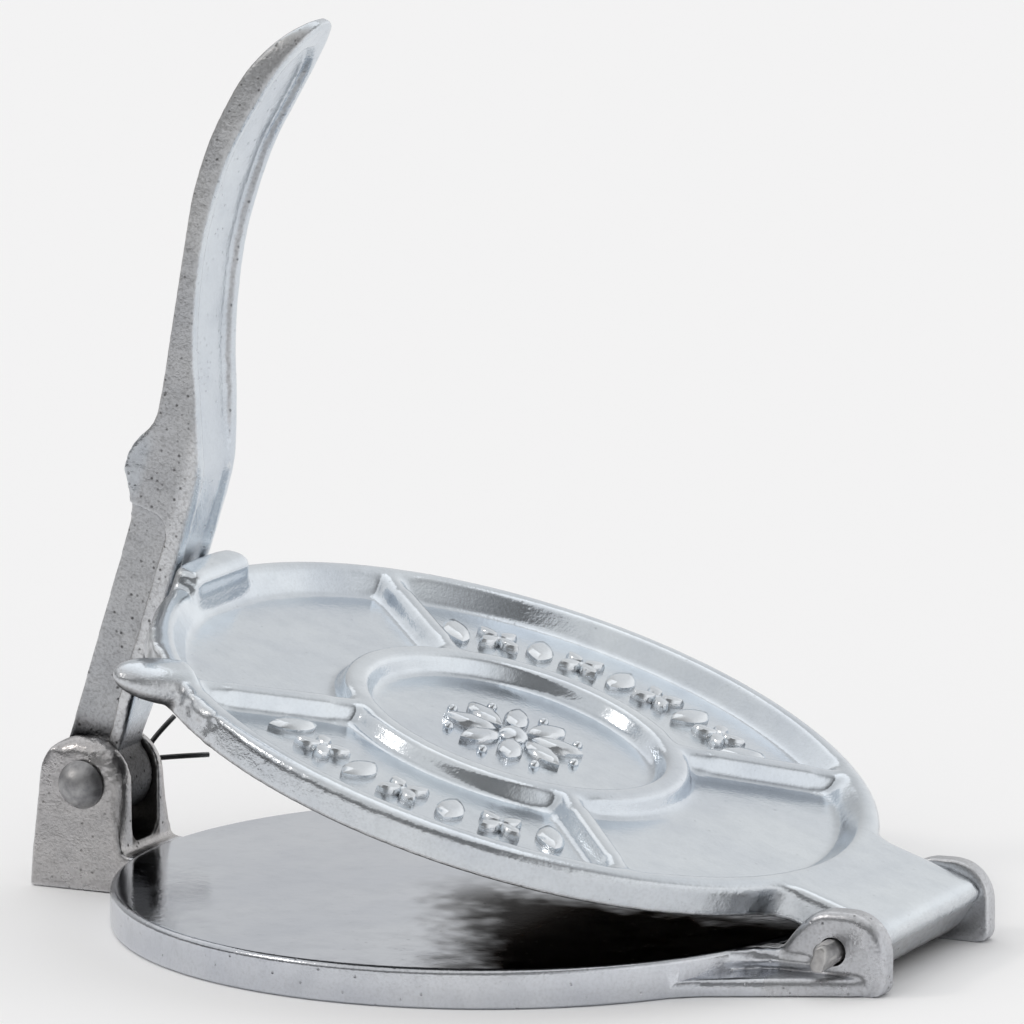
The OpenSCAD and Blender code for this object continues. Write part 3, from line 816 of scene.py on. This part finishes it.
def outer_wall(place, normal):
    """1 on the wall round the lid, its nub and its barrel, 0 on its top and its middle."""
    return ease(math.hypot(place.x, place.y), 97.5, 99) * ease(normal.z, 0.95, 0.6)


def rib_corner(place, normal):
    """1 where a rib meets the rim or the ring and along the rim's outer edge, which are the roundest."""
    radius, angle = around_middle(place)
    aside = min(abs(angle - a) for a in RIB_TURNS) * math.pi / 180 * radius
    end = max(ease(abs(radius - 90.5), 7, 4), ease(abs(radius - 50), 6, 3))
    corner = end * ease(aside, 10, 6) * ease(place.z, PANEL - 0.4, PANEL - 0.1)
    gate = ease(abs(angle - NUB_TURN), 18, 26)
    return max(corner, ease(radius, 96.8, 97.6) * ease(place.z, 18, 19) * gate)


def under_face(place, normal):
    """The flat middle of the underside."""
    return normal.z < -0.99 and place.z < LID_LOW + 0.2 and math.hypot(place.x, place.y) < 96


def plain_panel(place, normal):
    """The flat middle of the sectors that carry no ornament."""
    radius, angle = around_middle(place)
    blank = min(abs(angle - a) for a in (0, 184, 360)) < 33
    return normal.z > 0.9999 and 53 < radius < 84 and blank and abs(place.z - PANEL) < 0.2


# %% Cast the lid
PIN_RUN = 3.38
lid = join("lid_press", ribs + [pad, nub, apron, barrel] + blobs + collars + [disc])
melt(lid, 0.8, 8)
group = lid.vertex_groups.new(name="corners")
for v in lid.data.vertices:
    group.add([v.index], rib_corner(v.co / MM, v.normal), "REPLACE")
finish_with(lid, "SMOOTH", factor=0.5, iterations=24, vertex_group="corners")
roughen(lid, 2.4, 0.1, outer_wall)
for flat_part in (under_face, plain_panel):
    enter(lid)
    pick_faces(lid, flat_part)
    bpy.ops.mesh.dissolve_faces()
    leave()
print("lid has", sum(len(f.vertices) - 2 for f in lid.data.polygons), "triangles")
cut(lid, rod_along_y("bore", PIN_RUN, -40, 40, hinge_x, hinge_z))
lid = join("lid_press", ornament + [lid])

# %% [markdown]
# ### Marks on the lid
# The lid's top is smooth and bright, its wall is duller, most of all near the gate, and its underside
# is matt and darkened with painted shade. The marks are painted while the lid is still shut, where its
# faces are level and easy to tell apart. Then the lid is swung open by the angle that its joint gives.

# %% Marks on the lid
def lid_rough(place, normal):
    """Little on the top, more on the wall, all of it below."""
    wall = outer_wall(place, normal) * (0.3 + 0.3 * ease(place.x, -20, -70))
    return max(0.12, wall, ease(normal.z, 0, -0.5))


def lid_tone(place, normal):
    """Bright above, a little darker on the wall, and darkened below with painted shade."""
    # painted shade over the whole underside
    under = 0.84 * ease(normal.z, -0.2, -0.8)
    wall = 0.1 * outer_wall(place, normal) * ease(normal.z, -0.8, -0.2)
    return 1 - under - wall


paint(lid, "rough", lid_rough)
paint(lid, "tone", lid_tone)
turn(lid, lid_open, (0, 1, 0), (hinge_x, 0, hinge_z))
print("lid opened by", lid_open, "degrees")

# %% [markdown]
# ## The lever
# The lever's round end sits in the clevis. Above it the shaft has a pocket in each side, with a
# flange along the front, then comes a bump on the back at the knee, and then the wide grip, which
# curves back. A shallow channel runs down its front face. The lever is built up as by hand: one
# section is pushed up from station to station and resized at each. It is drawn standing upright on its
# pin, where its sections are level, and leaned back at the end.

# %% Stations of the lever
LEVER_LEN = 218.0
BOSS_R = 10.8
BOSS_HALF = 7.0
# height along the lever as a share of its length, front, back, half width
STATIONS = [
    (0.02, 4.4, -11.2, 6.9), (0.05, 4.4, -11.2, 6.9), (0.075, 4.6, -11.2, 7.1), (0.12, 4.6, -11.2, 8.6),
    (0.2, 5.5, -11.2, 9.2), (0.25, 6.1, -11.2, 9.7), (0.33, 6.1, -11.4, 10.4), (0.368, 5.8, -13.4, 10.6),
    (0.395, 5.6, -16.6, 10.9), (0.43, 4.8, -15.6, 11.2), (0.465, 2.4, -11.7, 11.9),
    (0.515, -1.4, -12.2, 12.5), (0.56, -5.2, -13.5, 12.9), (0.62, -8.9, -15.3, 13.3),
    (0.69, -11.8, -17.4, 13.7), (0.755, -12.6, -19.1, 14.1), (0.82, -11.9, -19, 14.2),
    (0.88, -9.3, -17.2, 13.9), (0.93, -6.8, -14.4, 12.8), (0.97, -4.2, -10.3, 9.6),
    (0.993, -2.4, -6.6, 5.4), (1, -2.8, -4.7, 2.2)]
FINE = 4


def smooth_through(rows):
    """More rows on a smooth curve through the given ones."""
    fine = []
    for i in range(len(rows) - 1):
        a, b, c, d = rows[max(i - 1, 0)], rows[i], rows[i + 1], rows[min(i + 2, len(rows) - 1)]
        for step in range(FINE):
            t = step / FINE
            fine.append([0.5 * (2 * q + (r - p) * t + (2 * p - 5 * q + 4 * r - s) * t * t
                                + (3 * q - p - 3 * r + s) * t * t * t) for p, q, r, s in zip(a, b, c, d)])
    return fine + [list(rows[-1])]


curve = [[s[0] * LEVER_LEN] + s[1:] for s in smooth_through(STATIONS)]
print("lever has", len(curve), "sections")


# %% Lever body
def build_up(name, rows):
    """Pushes a section up through rows of (height, front, back, half width), in mm."""
    height, front, back, half = rows[0]
    section = [(back, -half, height), (front, -half, height), (front, half, height), (back, half, height)]
    obj = draw_line(name, section)
    bpy.ops.mesh.select_all(action="SELECT")
    bpy.ops.mesh.edge_face_add()
    for new in rows[1:]:
        rise = Vector((0, 0, new[0] - height)) * MM
        bpy.ops.mesh.extrude_region_move(TRANSFORM_OT_translate={"value": rise})
        bpy.ops.transform.resize(value=((new[1] - new[2]) / (front - back), new[3] / half, 1),
                                 center_override=Vector((back, 0, new[0])) * MM)
        bpy.ops.transform.translate(value=Vector((new[2] - back, 0, 0)) * MM)
        height, front, back, half = new
    bpy.ops.mesh.select_all(action="SELECT")
    bpy.ops.mesh.normals_make_consistent(inside=False)
    leave()
    return obj


lever_body = build_up("lever_body", curve)


def long_edge(side):
    """True for the long edges on the front (1) or the back (-1) of the lever."""
    def wanted(middle, edge):
        rise = abs(edge.verts[0].co.z - edge.verts[1].co.z)
        facing = sum((face.normal for face in edge.link_faces), Vector()).x * side
        return rise > 0.2 * MM and facing > 0.3 and middle.z > 12 and edge.calc_face_angle(0) > 1
    return wanted


round_edges(lever_body, long_edge(-1), 1.2, 3)
round_edges(lever_body, long_edge(1), 1.6, 3)
print("lever body has", len(lever_body.data.polygons), "faces")

# %% [markdown]
# ### The pockets
# A pocket in each side saves iron and leaves a web in the middle and a flange along the front. Each
# pocket is cut by a block with one round corner. The block is sheared a little, so that the pocket's
# floor leans as the pattern's did.

# %% Lever pockets
POCKET_LOW, POCKET_HIGH = 0.02 * LEVER_LEN, 0.355 * LEVER_LEN
POCKET_EDGE = 0.6
POCKET_IN = 3.9
for side in (-1, 1):
    outline = [(-30, POCKET_LOW), (POCKET_EDGE, POCKET_LOW)]
    outline += arc((POCKET_EDGE - 5, POCKET_HIGH - 5), 5, 0, 90, 6) + [(-30, POCKET_HIGH)]
    pocket = push_out("pocket", upright(outline, side * POCKET_IN), (0, side * 12, 0))
    lean = Matrix.Identity(4)
    lean[1][2] = side * 0.045
    lean[1][0] = side * -0.09
    pocket.data.transform(lean)
    cut(lever_body, pocket)

print("the web between the pockets is", 2 * POCKET_IN, "mm thick at its foot")

# %% [markdown]
# ### The channel
# The channel down the front follows the lever's curve at an even depth and leaves a narrow border on
# both sides. Its cutter is therefore built up from the same sections as the lever, moved forward and
# narrowed, and it widens towards the open front so that the walls slope.

# %% Lever channel
CHANNEL_LOW, CHANNEL_HIGH = 0.225, 0.962
BORDER = 4.0


def channel_row(height, front, back, half):
    """The cutter's section at one of the lever's sections."""
    share = height / LEVER_LEN
    depth = 1.0 + 1.1 * ease(share, 0.4, 0.52)
    narrow = math.sqrt(max(0.04, 1 - ease(share, 0.9, CHANNEL_HIGH + 0.01) ** 2))
    return [height, front + 6, front - depth, (half - BORDER - 0.8) * narrow]


channel_length = (CHANNEL_HIGH - CHANNEL_LOW) * LEVER_LEN
rows = [channel_row(*row) for row in curve if CHANNEL_LOW * LEVER_LEN <= row[0] <= CHANNEL_HIGH * LEVER_LEN]
channel = build_up("channel", rows)
for v in channel.data.vertices:
    row = min(rows, key=lambda r: abs(r[0] - v.co.z / MM))
    if v.co.x / MM > (row[1] + row[2]) / 2:
        v.co.y += math.copysign(6.5 * MM, v.co.y)
cut(lever_body, channel)
print("channel is", round(channel_length, 1), "mm long")

# %% [markdown]
# ### Casting the lever
# The shaft ends in a round boss that fills the clevis. Boss, root and shaft are melted together. The
# sides show coarse sand, the knee has heavy lumps, and the bore for the pin is drilled last.

# %% Cast the lever
root = push_out("root", upright([(-10.8, 0), (4.4, 0), (4.4, 7), (-10.8, 7)], -6.9), (0, 13.8, 0))
boss = rod_along_y("boss", BOSS_R, -BOSS_HALF, BOSS_HALF, 0, 0, 96)
lever = join("lever_press", [root, boss, lever_body])
melt(lever, 0.55, 8)


def lever_side(place, normal):
    """1 on both sides of the lever."""
    return ease(abs(normal.y), 0.5, 0.8)


def knee(place, normal):
    """1 on the bump at the back of the knee."""
    return ease(abs(place.z - 0.405 * LEVER_LEN), 12, 5) * ease(place.x, -9, -12)


roughen(lever, 2.6, 0.12, lever_side)
roughen(lever, 2.2, 0.3, knee)
roughen(lever, 5.0, 0.06, lambda p, n: ease(p.z, 14, 24) * (1 - lever_side(p, n)))
cut(lever, rod_along_y("bore", PIN_BORE, -12, 12, 0, 0))
print("lever is", round(lever.dimensions.z / MM, 1), "mm long")

# %% [markdown]
# ### Marks on the lever
# Hands keep the front of the lever bright. Its sides are duller and a little darker, its round end,
# down in the clevis's slot, is darkened with painted shade, and its back has a warm cast from handling.
# These marks are numbers painted on the points, like those of the base and the lid.

# %% Marks on the lever
paint(lever, "rough", lambda p, n: max(0.2, lever_side(p, n) * (0.8 - 0.4 * knee(p, n)), ease(p.z, 24, 12)))
# the round end, down in the clevis's slot, is darkened with painted shade
paint(lever, "tone", lambda p, n: 1 - 0.3 * lever_side(p, n) * ease(p.x, 2.5, -1) - 0.75 * ease(p.z, 18, 8))
paint(lever, "brown", lambda p, n: 0.6 * ease(n.x, -0.4, -0.8) * (1 - knee(p, n)))
print("marks of the lever are on", len(lever.data.vertices), "points")

# %% [markdown]
# ### Leaning the lever
# The lever leans on the lid's pad. Its lean isn't typed in but worked out: its front has to clear the
# pad's round corner by a small gap, which is a triangle of the two pins and that corner.

# %% Lean the lever back
LEVER_FRONT = 6.1
pin_line = Vector((hinge_x - pivot_x, pivot_z - hinge_z))
PAD_GAP = 0.35
pad_corner = Vector((hinge_x - PAD_OUT - PAD_ROUND, PAD_TOP - PAD_ROUND - hinge_z))
pad_line = pad_corner.length + PAD_ROUND + LEVER_FRONT + PAD_GAP
lever_lean = math.degrees(math.atan2(pin_line.y, pin_line.x) + math.acos(pad_line / pin_line.length))
print("the lever leans", round(lever_lean, 2), "degrees")
turn(lever, lever_lean, (0, 1, 0))
shift(lever, (pivot_x, 0, pivot_z))

# %% [markdown]
# ## The clevis pin
# The lever turns on a steel pin with a domed head. It is one profile turned round the pin's axis: the
# dome is part of a ball, whose radius follows from the head's width and height, and the tail has a
# small chamfer.

# %% Clevis pin
DOME_R = 6.6
DOME_H = 4.6
HEAD_Y = -14.1
SHANK_R = 3.5
TAIL_Y = 20.4
ball_r = (DOME_R ** 2 + DOME_H ** 2) / (2 * DOME_H)
half_angle = math.degrees(math.asin(DOME_R / ball_r))
dome = [(r, HEAD_Y - (h - (ball_r - DOME_H))) for r, h in arc((0, 0), ball_r, 90, 90 - half_angle, 14)]
profile = [(0, dome[0][1])] + dome[1:] + [(6.3, HEAD_Y + 0.1), (SHANK_R, HEAD_Y + 0.1)]
profile += [(SHANK_R, TAIL_Y - 1), (SHANK_R - 0.6, TAIL_Y), (0, TAIL_Y)]
clevis_pin = turn_round("clevis_pin_press", [(pivot_x + r, y, pivot_z) for r, y in profile], 64,
                        centre=(pivot_x, 0, pivot_z), axis=(0, 1, 0))
print("clevis pin is", round(clevis_pin.dimensions.y / MM, 1), "mm long")

# %% [markdown]
# ## The hinge pin
# The hinge pin has a flat head at the far side. Its near end was hammered, so that it can't slip out,
# and is squeezed to a blunt, uneven tip. The shank is turned, and the tip is a seven-sided block that
# narrows from the shank's size to the end, with every edge rounded.

# %% Hinge pin
HINGE_PIN_R = 3.3
NEAR_END = -41.5
FAR_HEAD = 37.4
profile = [(0, NEAR_END), (2.8, NEAR_END), (HINGE_PIN_R, NEAR_END + 0.6), (HINGE_PIN_R, FAR_HEAD)]
profile += [(4.8, FAR_HEAD), (5.2, FAR_HEAD + 0.4), (5.2, FAR_HEAD + 1.8), (4.6, FAR_HEAD + 2.4)]
profile += [(0, FAR_HEAD + 2.4)]
hinge_pin = turn_round("hinge_pin_press", [(hinge_x + r, y, hinge_z) for r, y in profile], 64,
                       centre=(hinge_x, 0, hinge_z), axis=(0, 1, 0))
print("hinge pin is", 2 * HINGE_PIN_R, "mm thick")

# %% Hammered tip
TIP_END = -46.5
TIP_LENGTH = 7.0
lump = [(-2.2, -1.6), (-1.3, -3.5), (1.2, -3.5), (2.2, -0.6), (2.3, 2.3), (1.1, 3.6), (-0.6, 2.6)]
places = [(hinge_x + 0.3 + x, TIP_END, hinge_z + z) for x, z in lump]
tip = push_out("tip", places, (0, TIP_LENGTH, 0))
enter(tip)
pick_faces(tip, lambda m, n: n.y > 0.9)
inner_end = Vector((hinge_x, TIP_END + TIP_LENGTH, hinge_z)) * MM
bpy.ops.transform.resize(value=(1.35, 1, 0.86), center_override=inner_end)
leave()
round_edges(tip, lambda m, e: sharp(e) or e.calc_face_angle(0) > 0.6, 0.5, 3)
cut(hinge_pin, tip, "UNION")
print("hinge pin is", round(hinge_pin.dimensions.y / MM, 1), "mm long")

# %% [markdown]
# ## The split pin
# A split pin through the clevis pin's tail keeps it in. It is one wire folded double: an eye at one
# end, two legs side by side in the hole, and two tips bent apart. Each leg is a curve with a round
# bevel that is then made a mesh, because a wire bends more evenly as a curve than as a bevelled
# cylinder.

# %% Split pin
CROSS_Y = 17.2
CROSS_TURN = 20


def wire(name, points, radius):
    """A round wire that runs smoothly past points in mm."""
    bpy.ops.object.select_all(action="DESELECT")
    bpy.ops.curve.primitive_nurbs_path_add()
    obj = bpy.context.object
    obj.name = name
    spline = obj.data.splines[0]
    spline.points.add(len(points) - len(spline.points))
    for point, place in zip(spline.points, points):
        point.co = (*(Vector(place) * MM), 1)
    spline.order_u = 3
    spline.use_endpoint_u = True
    obj.data.bevel_depth = radius * MM
    obj.data.bevel_resolution = 4
    obj.data.use_fill_caps = True
    obj.data.resolution_u = 8
    bpy.ops.object.convert(target="MESH")
    return bpy.context.object


# %% Legs of the split pin
WIRE_R = 0.72
slant = (math.cos(math.radians(CROSS_TURN)), math.sin(math.radians(CROSS_TURN)))


def along_hole(distance, off):
    """A place in the hole for the split pin, off its axis by off."""
    return (pivot_x + slant[0] * distance - slant[1] * off, CROSS_Y,
            pivot_z + slant[1] * distance + slant[0] * off)


bends = [(-110.55, 20, 29.7), (-111.2, 21, 34.6)]
tips = [(-99.27, 31, 29.35), (-107.35, 26.6, 40.08)]
eye = [(-9.2, 0), (-9.0, 1.6), (-7.6, 2.5), (-5.8, 2.2), (-4.4, 0.75), (-2, 0.62), (3, 0.62)]
legs = []
for sign, bend, end in zip((-1, 1), bends, tips):
    path = [along_hole(d, sign * o) for d, o in eye] + [bend, end]
    legs.append(wire("leg", path, WIRE_R))
cotter = join("cotter_press", legs)
print("split pin spans", [round(side / MM, 1) for side in cotter.dimensions], "mm")

# %% [markdown]
# ## Finishes
# Cast iron dipped in tin is bright where the mould was smooth and grey and grainy where the sand was
# coarse. Marks painted on each casting above say how rough and how dark its skin is at each place.
# The material adds what is too small to model: sand grain, pits, clouding of the tin, bright worn
# edges and dull hollows.

# %% Node tools
def add(tree, kind, inputs=None, **settings):
    """Adds a shader node; inputs holds numbers, or the sockets that feed them."""
    node = tree.nodes.new("ShaderNode" + kind)
    for key, value in settings.items():
        setattr(node, key, value)
    for key, value in (inputs or {}).items():
        if isinstance(value, bpy.types.NodeSocket):
            tree.links.new(value, node.inputs[key])
        else:
            node.inputs[key].default_value = value
    return node


def remap(tree, value, low, high, to_low=0.0, to_high=1.0):
    """Brings value from the span low to high into the span to_low to to_high."""
    inputs = {"Value": value, "From Min": low, "From Max": high, "To Min": to_low, "To Max": to_high}
    return add(tree, "MapRange", inputs).outputs["Result"]


def maths(tree, kind, a, b):
    """One sum, product or other step on two numbers."""
    return add(tree, "Math", {0: a, 1: b}, operation=kind).outputs[0]


def blend(tree, share, first, second, kind="MIX"):
    """Mixes two colours by share."""
    return add(tree, "Mix", {0: share, 6: first, 7: second}, data_type="RGBA", blend_type=kind).outputs[2]


def clouds(tree, place, size, detail=2.0, stretch=None):
    """Noise with lumps of about size mm."""
    if stretch:
        place = add(tree, "Mapping", {"Vector": place, "Scale": stretch}).outputs[0]
    inputs = {"Vector": place, "Scale": 1 / (size * MM), "Detail": detail}
    return add(tree, "TexNoise", inputs).outputs["Fac"]


# %% Start and end of a metal
def new_metal(name):
    """A metal: the material, its nodes, its shader, places on the piece, and how convex it is there."""
    material = bpy.data.materials.new(name)
    material.use_nodes = True
    tree = material.node_tree
    shader = tree.nodes["Principled BSDF"]
    shader.inputs["Metallic"].default_value = 1
    place = add(tree, "TexCoord").outputs["Object"]
    convex = add(tree, "NewGeometry").outputs["Pointiness"]
    return material, tree, shader, place, convex


def set_skin(tree, shader, colour, dull, height, grain, strength):
    """Feeds the shader with a colour, a roughness and a bump of grain mm."""
    tree.links.new(colour, shader.inputs["Base Color"])
    tree.links.new(dull, shader.inputs["Roughness"])
    bump = add(tree, "Bump", {"Height": height, "Distance": grain * MM, "Strength": strength})
    tree.links.new(bump.outputs["Normal"], shader.inputs["Normal"])


# %% [markdown]
# ### The tinned castings
# All three castings share one recipe, with other numbers for each. Four soft noises of different sizes
# cloud the colour and the gloss, as the tin ran and froze unevenly. Scattered round cells give the
# pits. Worn edges are found by how convex the surface is there, and the colour is darker where the
# surface is hollow. Bump is used only for grain below half a millimetre; everything larger is in the
# mesh.

# %% Tints of the tin
# these multiply the colour
CLOUDED = (0.86, 0.87, 0.9, 1)
PATCHED = (0.8, 0.81, 0.83, 1)
SANDY = (0.62, 0.61, 0.6, 1)
WARM = (1.02, 0.9, 0.78, 1)
HOLLOW = (0.4, 0.4, 0.42, 1)
# these take its place
SAND_SKIN = (0.74, 0.735, 0.735, 1)
WORN = (0.8, 0.82, 0.84, 1)
PIT = (0.06, 0.058, 0.055, 1)


# %% Tinned casting
def tinned(name, dark, bright, smooth, grain, pits):
    """Tin on cast iron, from dark to bright, with its smoothest roughness, grain and share of pits."""
    material, tree, shader, place, convex = new_metal(name)
    rough, tone, brown = [add(tree, "Attribute", attribute_name=mark).outputs["Fac"]
                          for mark in ("rough", "tone", "brown")]

    cloud = clouds(tree, place, 38, 4)
    patch = clouds(tree, place, 7, 4)
    sand = clouds(tree, place, 0.8, 3)
    dust = clouds(tree, place, 0.45, 2)
    ripple = clouds(tree, place, 2.2, 2)

    cells = add(tree, "TexVoronoi", {"Vector": place, "Scale": 1 / (1.7 * MM), "Randomness": 1.0})
    chosen = add(tree, "SeparateColor", {0: cells.outputs["Color"]}).outputs[0]
    marks = maths(tree, "MULTIPLY", remap(tree, cells.outputs["Distance"], 0.3, 0.1),
                  remap(tree, chosen, 1 - pits, 1.02 - pits))
    marks = maths(tree, "MULTIPLY", marks, remap(tree, rough, 0.1, 0.8, 0.15, 1))

    skin = blend(tree, rough, (*bright, 1), SAND_SKIN)
    colour = blend(tree, tone, (*dark, 1), skin)
    colour = blend(tree, remap(tree, cloud, 0.3, 0.7, 1, 0), colour, CLOUDED, "MULTIPLY")
    colour = blend(tree, remap(tree, patch, 0.45, 0.75, 0, 0.35), colour, PATCHED, "MULTIPLY")
    sandy = maths(tree, "MULTIPLY", rough, remap(tree, sand, 0.45, 0.75))
    colour = blend(tree, sandy, colour, SANDY, "MULTIPLY")
    colour = blend(tree, brown, colour, WARM, "MULTIPLY")
    colour = blend(tree, remap(tree, convex, 0.51, 0.56, 0, 0.5), colour, WORN)
    # the colour is made darker where the surface is hollow
    colour = blend(tree, remap(tree, convex, 0.49, 0.44, 0, 0.6), colour, HOLLOW, "MULTIPLY")
    colour = blend(tree, maths(tree, "MULTIPLY", marks, 0.7), colour, PIT)
    # the reflection darkens with the tone, so the painted shade darkens the gloss as well
    tree.links.new(blend(tree, tone, (*dark, 1), (1, 1, 1, 1)), shader.inputs["Specular Tint"])

    dull = remap(tree, rough, 0, 1, smooth, 0.42)
    dull = maths(tree, "ADD", dull, remap(tree, patch, 0.3, 0.7, -0.03, 0.06))
    dull = maths(tree, "ADD", dull, remap(tree, cloud, 0.3, 0.7, -0.03, 0.05))
    dull = maths(tree, "ADD", dull, maths(tree, "MULTIPLY", marks, 0.25))

    height = maths(tree, "MULTIPLY", sand, remap(tree, rough, 0.1, 0.9, 0.16 * grain, grain))
    fine = maths(tree, "MULTIPLY", dust, remap(tree, rough, 0, 1, 0.03, 0.3))
    height = maths(tree, "ADD", height, fine)
    height = maths(tree, "ADD", height, maths(tree, "MULTIPLY", ripple, 0.2))
    height = maths(tree, "SUBTRACT", height, maths(tree, "MULTIPLY", marks, 0.8))
    set_skin(tree, shader, colour, dull, height, 0.25, 0.9)
    return material


# %% [markdown]
# ### The steel pins
# The pins are drawn steel without tin. Stains darken them in blotches and make them duller there, and
# fine scratches run round them. One recipe serves the clevis pin, the hinge pin and the dark wire.

# %% Steel
STAINED = (0.6, 0.6, 0.62, 1)
RUBBED = (0.6, 0.61, 0.62, 1)


def steel(name, colour, smooth):
    """Plain drawn steel, lightly scratched and stained."""
    material, tree, shader, place, convex = new_metal(name)
    stain = clouds(tree, place, 3, 4)
    scratch = clouds(tree, place, 0.5, 3, (1, 0.2, 1))
    shade = blend(tree, remap(tree, stain, 0.4, 0.7), (*colour, 1), STAINED, "MULTIPLY")
    shade = blend(tree, remap(tree, convex, 0.52, 0.62, 0, 0.5), shade, RUBBED)
    dull = remap(tree, stain, 0.3, 0.7, smooth, smooth + 0.15)
    dull = maths(tree, "ADD", dull, remap(tree, scratch, 0.3, 0.7, 0, 0.1))
    set_skin(tree, shader, shade, dull, maths(tree, "ADD", scratch, stain), 0.1, 0.5)
    return material


# %% [markdown]
# ## Setting the pieces
# Each finished piece takes the place of its solid and rides on the body that moves it. The split pin
# rides with the clevis pin, which it goes through. The print tells how far each piece's box departs
# from its solid's box, in mm on each axis, which should be only the depth of the sand's lumps.

# %% Materials of the pieces
# the colour that the painted shade under the lid and on the lever's round end goes to
DARK = (0.04, 0.04, 0.042)
# the colour of the painted shade in the nip of the base, where its tone is 0
NIP_SHADE_DARK = (0.07, 0.065, 0.06)
base_tin = tinned("base_tin", NIP_SHADE_DARK, (0.65, 0.68, 0.73), 0.07, 0.5, 0.1)
lid_tin = tinned("lid_tin", DARK, (0.77, 0.825, 0.87), 0.1, 1.0, 0.04)
lever_tin = tinned("lever_tin", DARK, (0.73, 0.79, 0.84), 0.14, 0.9, 0.3)
pin_steel = steel("pin_steel", (0.44, 0.44, 0.445), 0.36)
dark_wire = steel("dark_wire", (0.03, 0.03, 0.032), 0.35)
hinge_steel = steel("hinge_steel", (0.55, 0.54, 0.53), 0.3)
print("materials:", [material.name for material in bpy.data.materials])


# %% Set each piece in its place
def set_in_place(piece, body, node, finish):
    """Gives a piece its finish, hides its solid, sets it on its body and prints how far its box departs."""
    piece.data.materials.clear()
    piece.data.materials.append(finish)
    only(piece)
    bpy.ops.object.shade_smooth_by_angle(angle=math.radians(40))
    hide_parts(node)
    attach(piece, body)
    low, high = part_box(node)
    corners = [Vector(c) for c in piece.bound_box]
    under = [round((min(c[i] for c in corners) - low[i]) / MM, 2) for i in range(3)]
    over = [round((max(c[i] for c in corners) - high[i]) / MM, 2) for i in range(3)]
    print(piece.name, "low", under, "high", over)


set_in_place(base, "base", "base_casting", base_tin)
set_in_place(lid, "lid", "lid_casting", lid_tin)
set_in_place(lever, "lever", "lever", lever_tin)
set_in_place(clevis_pin, "clevis_pin", "clevis_pin", pin_steel)
set_in_place(cotter, "clevis_pin", "cotter_pin", dark_wire)
set_in_place(hinge_pin, "hinge_pin", "hinge_pin", hinge_steel)

# %% [markdown]
# ## The floor
# The press stands on white paper. The floor is very wide, so that it meets the bright background
# without an edge, and it has no gloss of its own.

# %% Floor
PAPER = (0.92, 0.92, 0.925, 1)
bpy.ops.object.select_all(action="DESELECT")
bpy.ops.mesh.primitive_plane_add(size=60, location=(0, 20, 0))
floor = bpy.context.object
floor.name = "floor"
paper = bpy.data.materials.new("paper")
paper.use_nodes = True
paper_shader = paper.node_tree.nodes["Principled BSDF"]
paper_shader.inputs["Base Color"].default_value = PAPER
paper_shader.inputs["Roughness"].default_value = 0.95
paper_shader.inputs["Specular IOR Level"].default_value = 0.0
floor.data.materials.append(paper)
print("floor is", round(floor.dimensions.x), "m wide")

# %% [markdown]
# ## The world
# The white surroundings are what the tin mirrors. A plain white world would make the metal look flat,
# so what a glossy surface mirrors is a room instead: white at the back and far to the right, darker on
# the left and where the viewer stands, and a little darker overhead. The camera sees an even
# background, and the soft light that falls on everything is even too.

# %% World
BACKDROP = 0.9
SOFT_LIGHT = 0.62
world = bpy.data.worlds.new("studio")
bpy.context.scene.world = world
world.use_nodes = True
tree = world.node_tree
seen = add(tree, "LightPath")
toward = add(tree, "SeparateXYZ", {0: add(tree, "TexCoord").outputs["Generated"]})
back = remap(tree, toward.outputs[1], -0.35, 0.45, 0.22, 1.0)
far_right = remap(tree, toward.outputs[0], 0.45, 0.9, 0, 1.0)
left = remap(tree, toward.outputs[0], -1.0, 0.1, 0.35, 1.0)
above = remap(tree, toward.outputs[2], 0.35, 1.0, 1.0, 0.6)
room = maths(tree, "MULTIPLY", maths(tree, "MAXIMUM", back, far_right), left)
room = maths(tree, "MULTIPLY", room, above)
plain = maths(tree, "MAXIMUM", seen.outputs["Is Camera Ray"], seen.outputs["Is Transmission Ray"])
shown = remap(tree, plain, 0, 1, SOFT_LIGHT, BACKDROP)
glossy = seen.outputs["Is Glossy Ray"]
shown = add(tree, "Mix", {0: glossy, 2: shown, 3: room}, data_type="FLOAT").outputs[0]
tree.links.new(shown, tree.nodes["Background"].inputs["Strength"])
tree.nodes["Background"].inputs["Color"].default_value = (1, 1, 1, 1)
print("world has", len(tree.nodes), "nodes")

# %% [markdown]
# ## The lamps
# A broad sun from the upper left gives the soft shadow and the bright edges, as a large soft box would.
# A second, narrow and warm one stands in for a window and puts small sparks on the rough edges.

# %% Lamps
def sun(name, toward, strength, width, colour=(1, 1, 1)):
    """A far lamp that shines from a direction; width is how broad it looks, in degrees."""
    bpy.ops.object.light_add(type="SUN", location=Vector(toward) * 2)
    lamp = bpy.context.object
    lamp.name = name
    lamp.data.energy = strength
    lamp.data.color = colour
    lamp.data.angle = math.radians(width)
    lamp.rotation_euler = Vector(toward).to_track_quat("Z", "Y").to_euler()
    print(name, "shines with", strength, "and looks", width, "degrees wide")


sun("key", (-0.377, -0.161, 0.913), 1.05, 100)
sun("window", (-0.62, -0.46, 0.63), 0.25, 7, (1, 0.94, 0.88))
bpy.context.scene.view_settings.view_transform = "Standard"
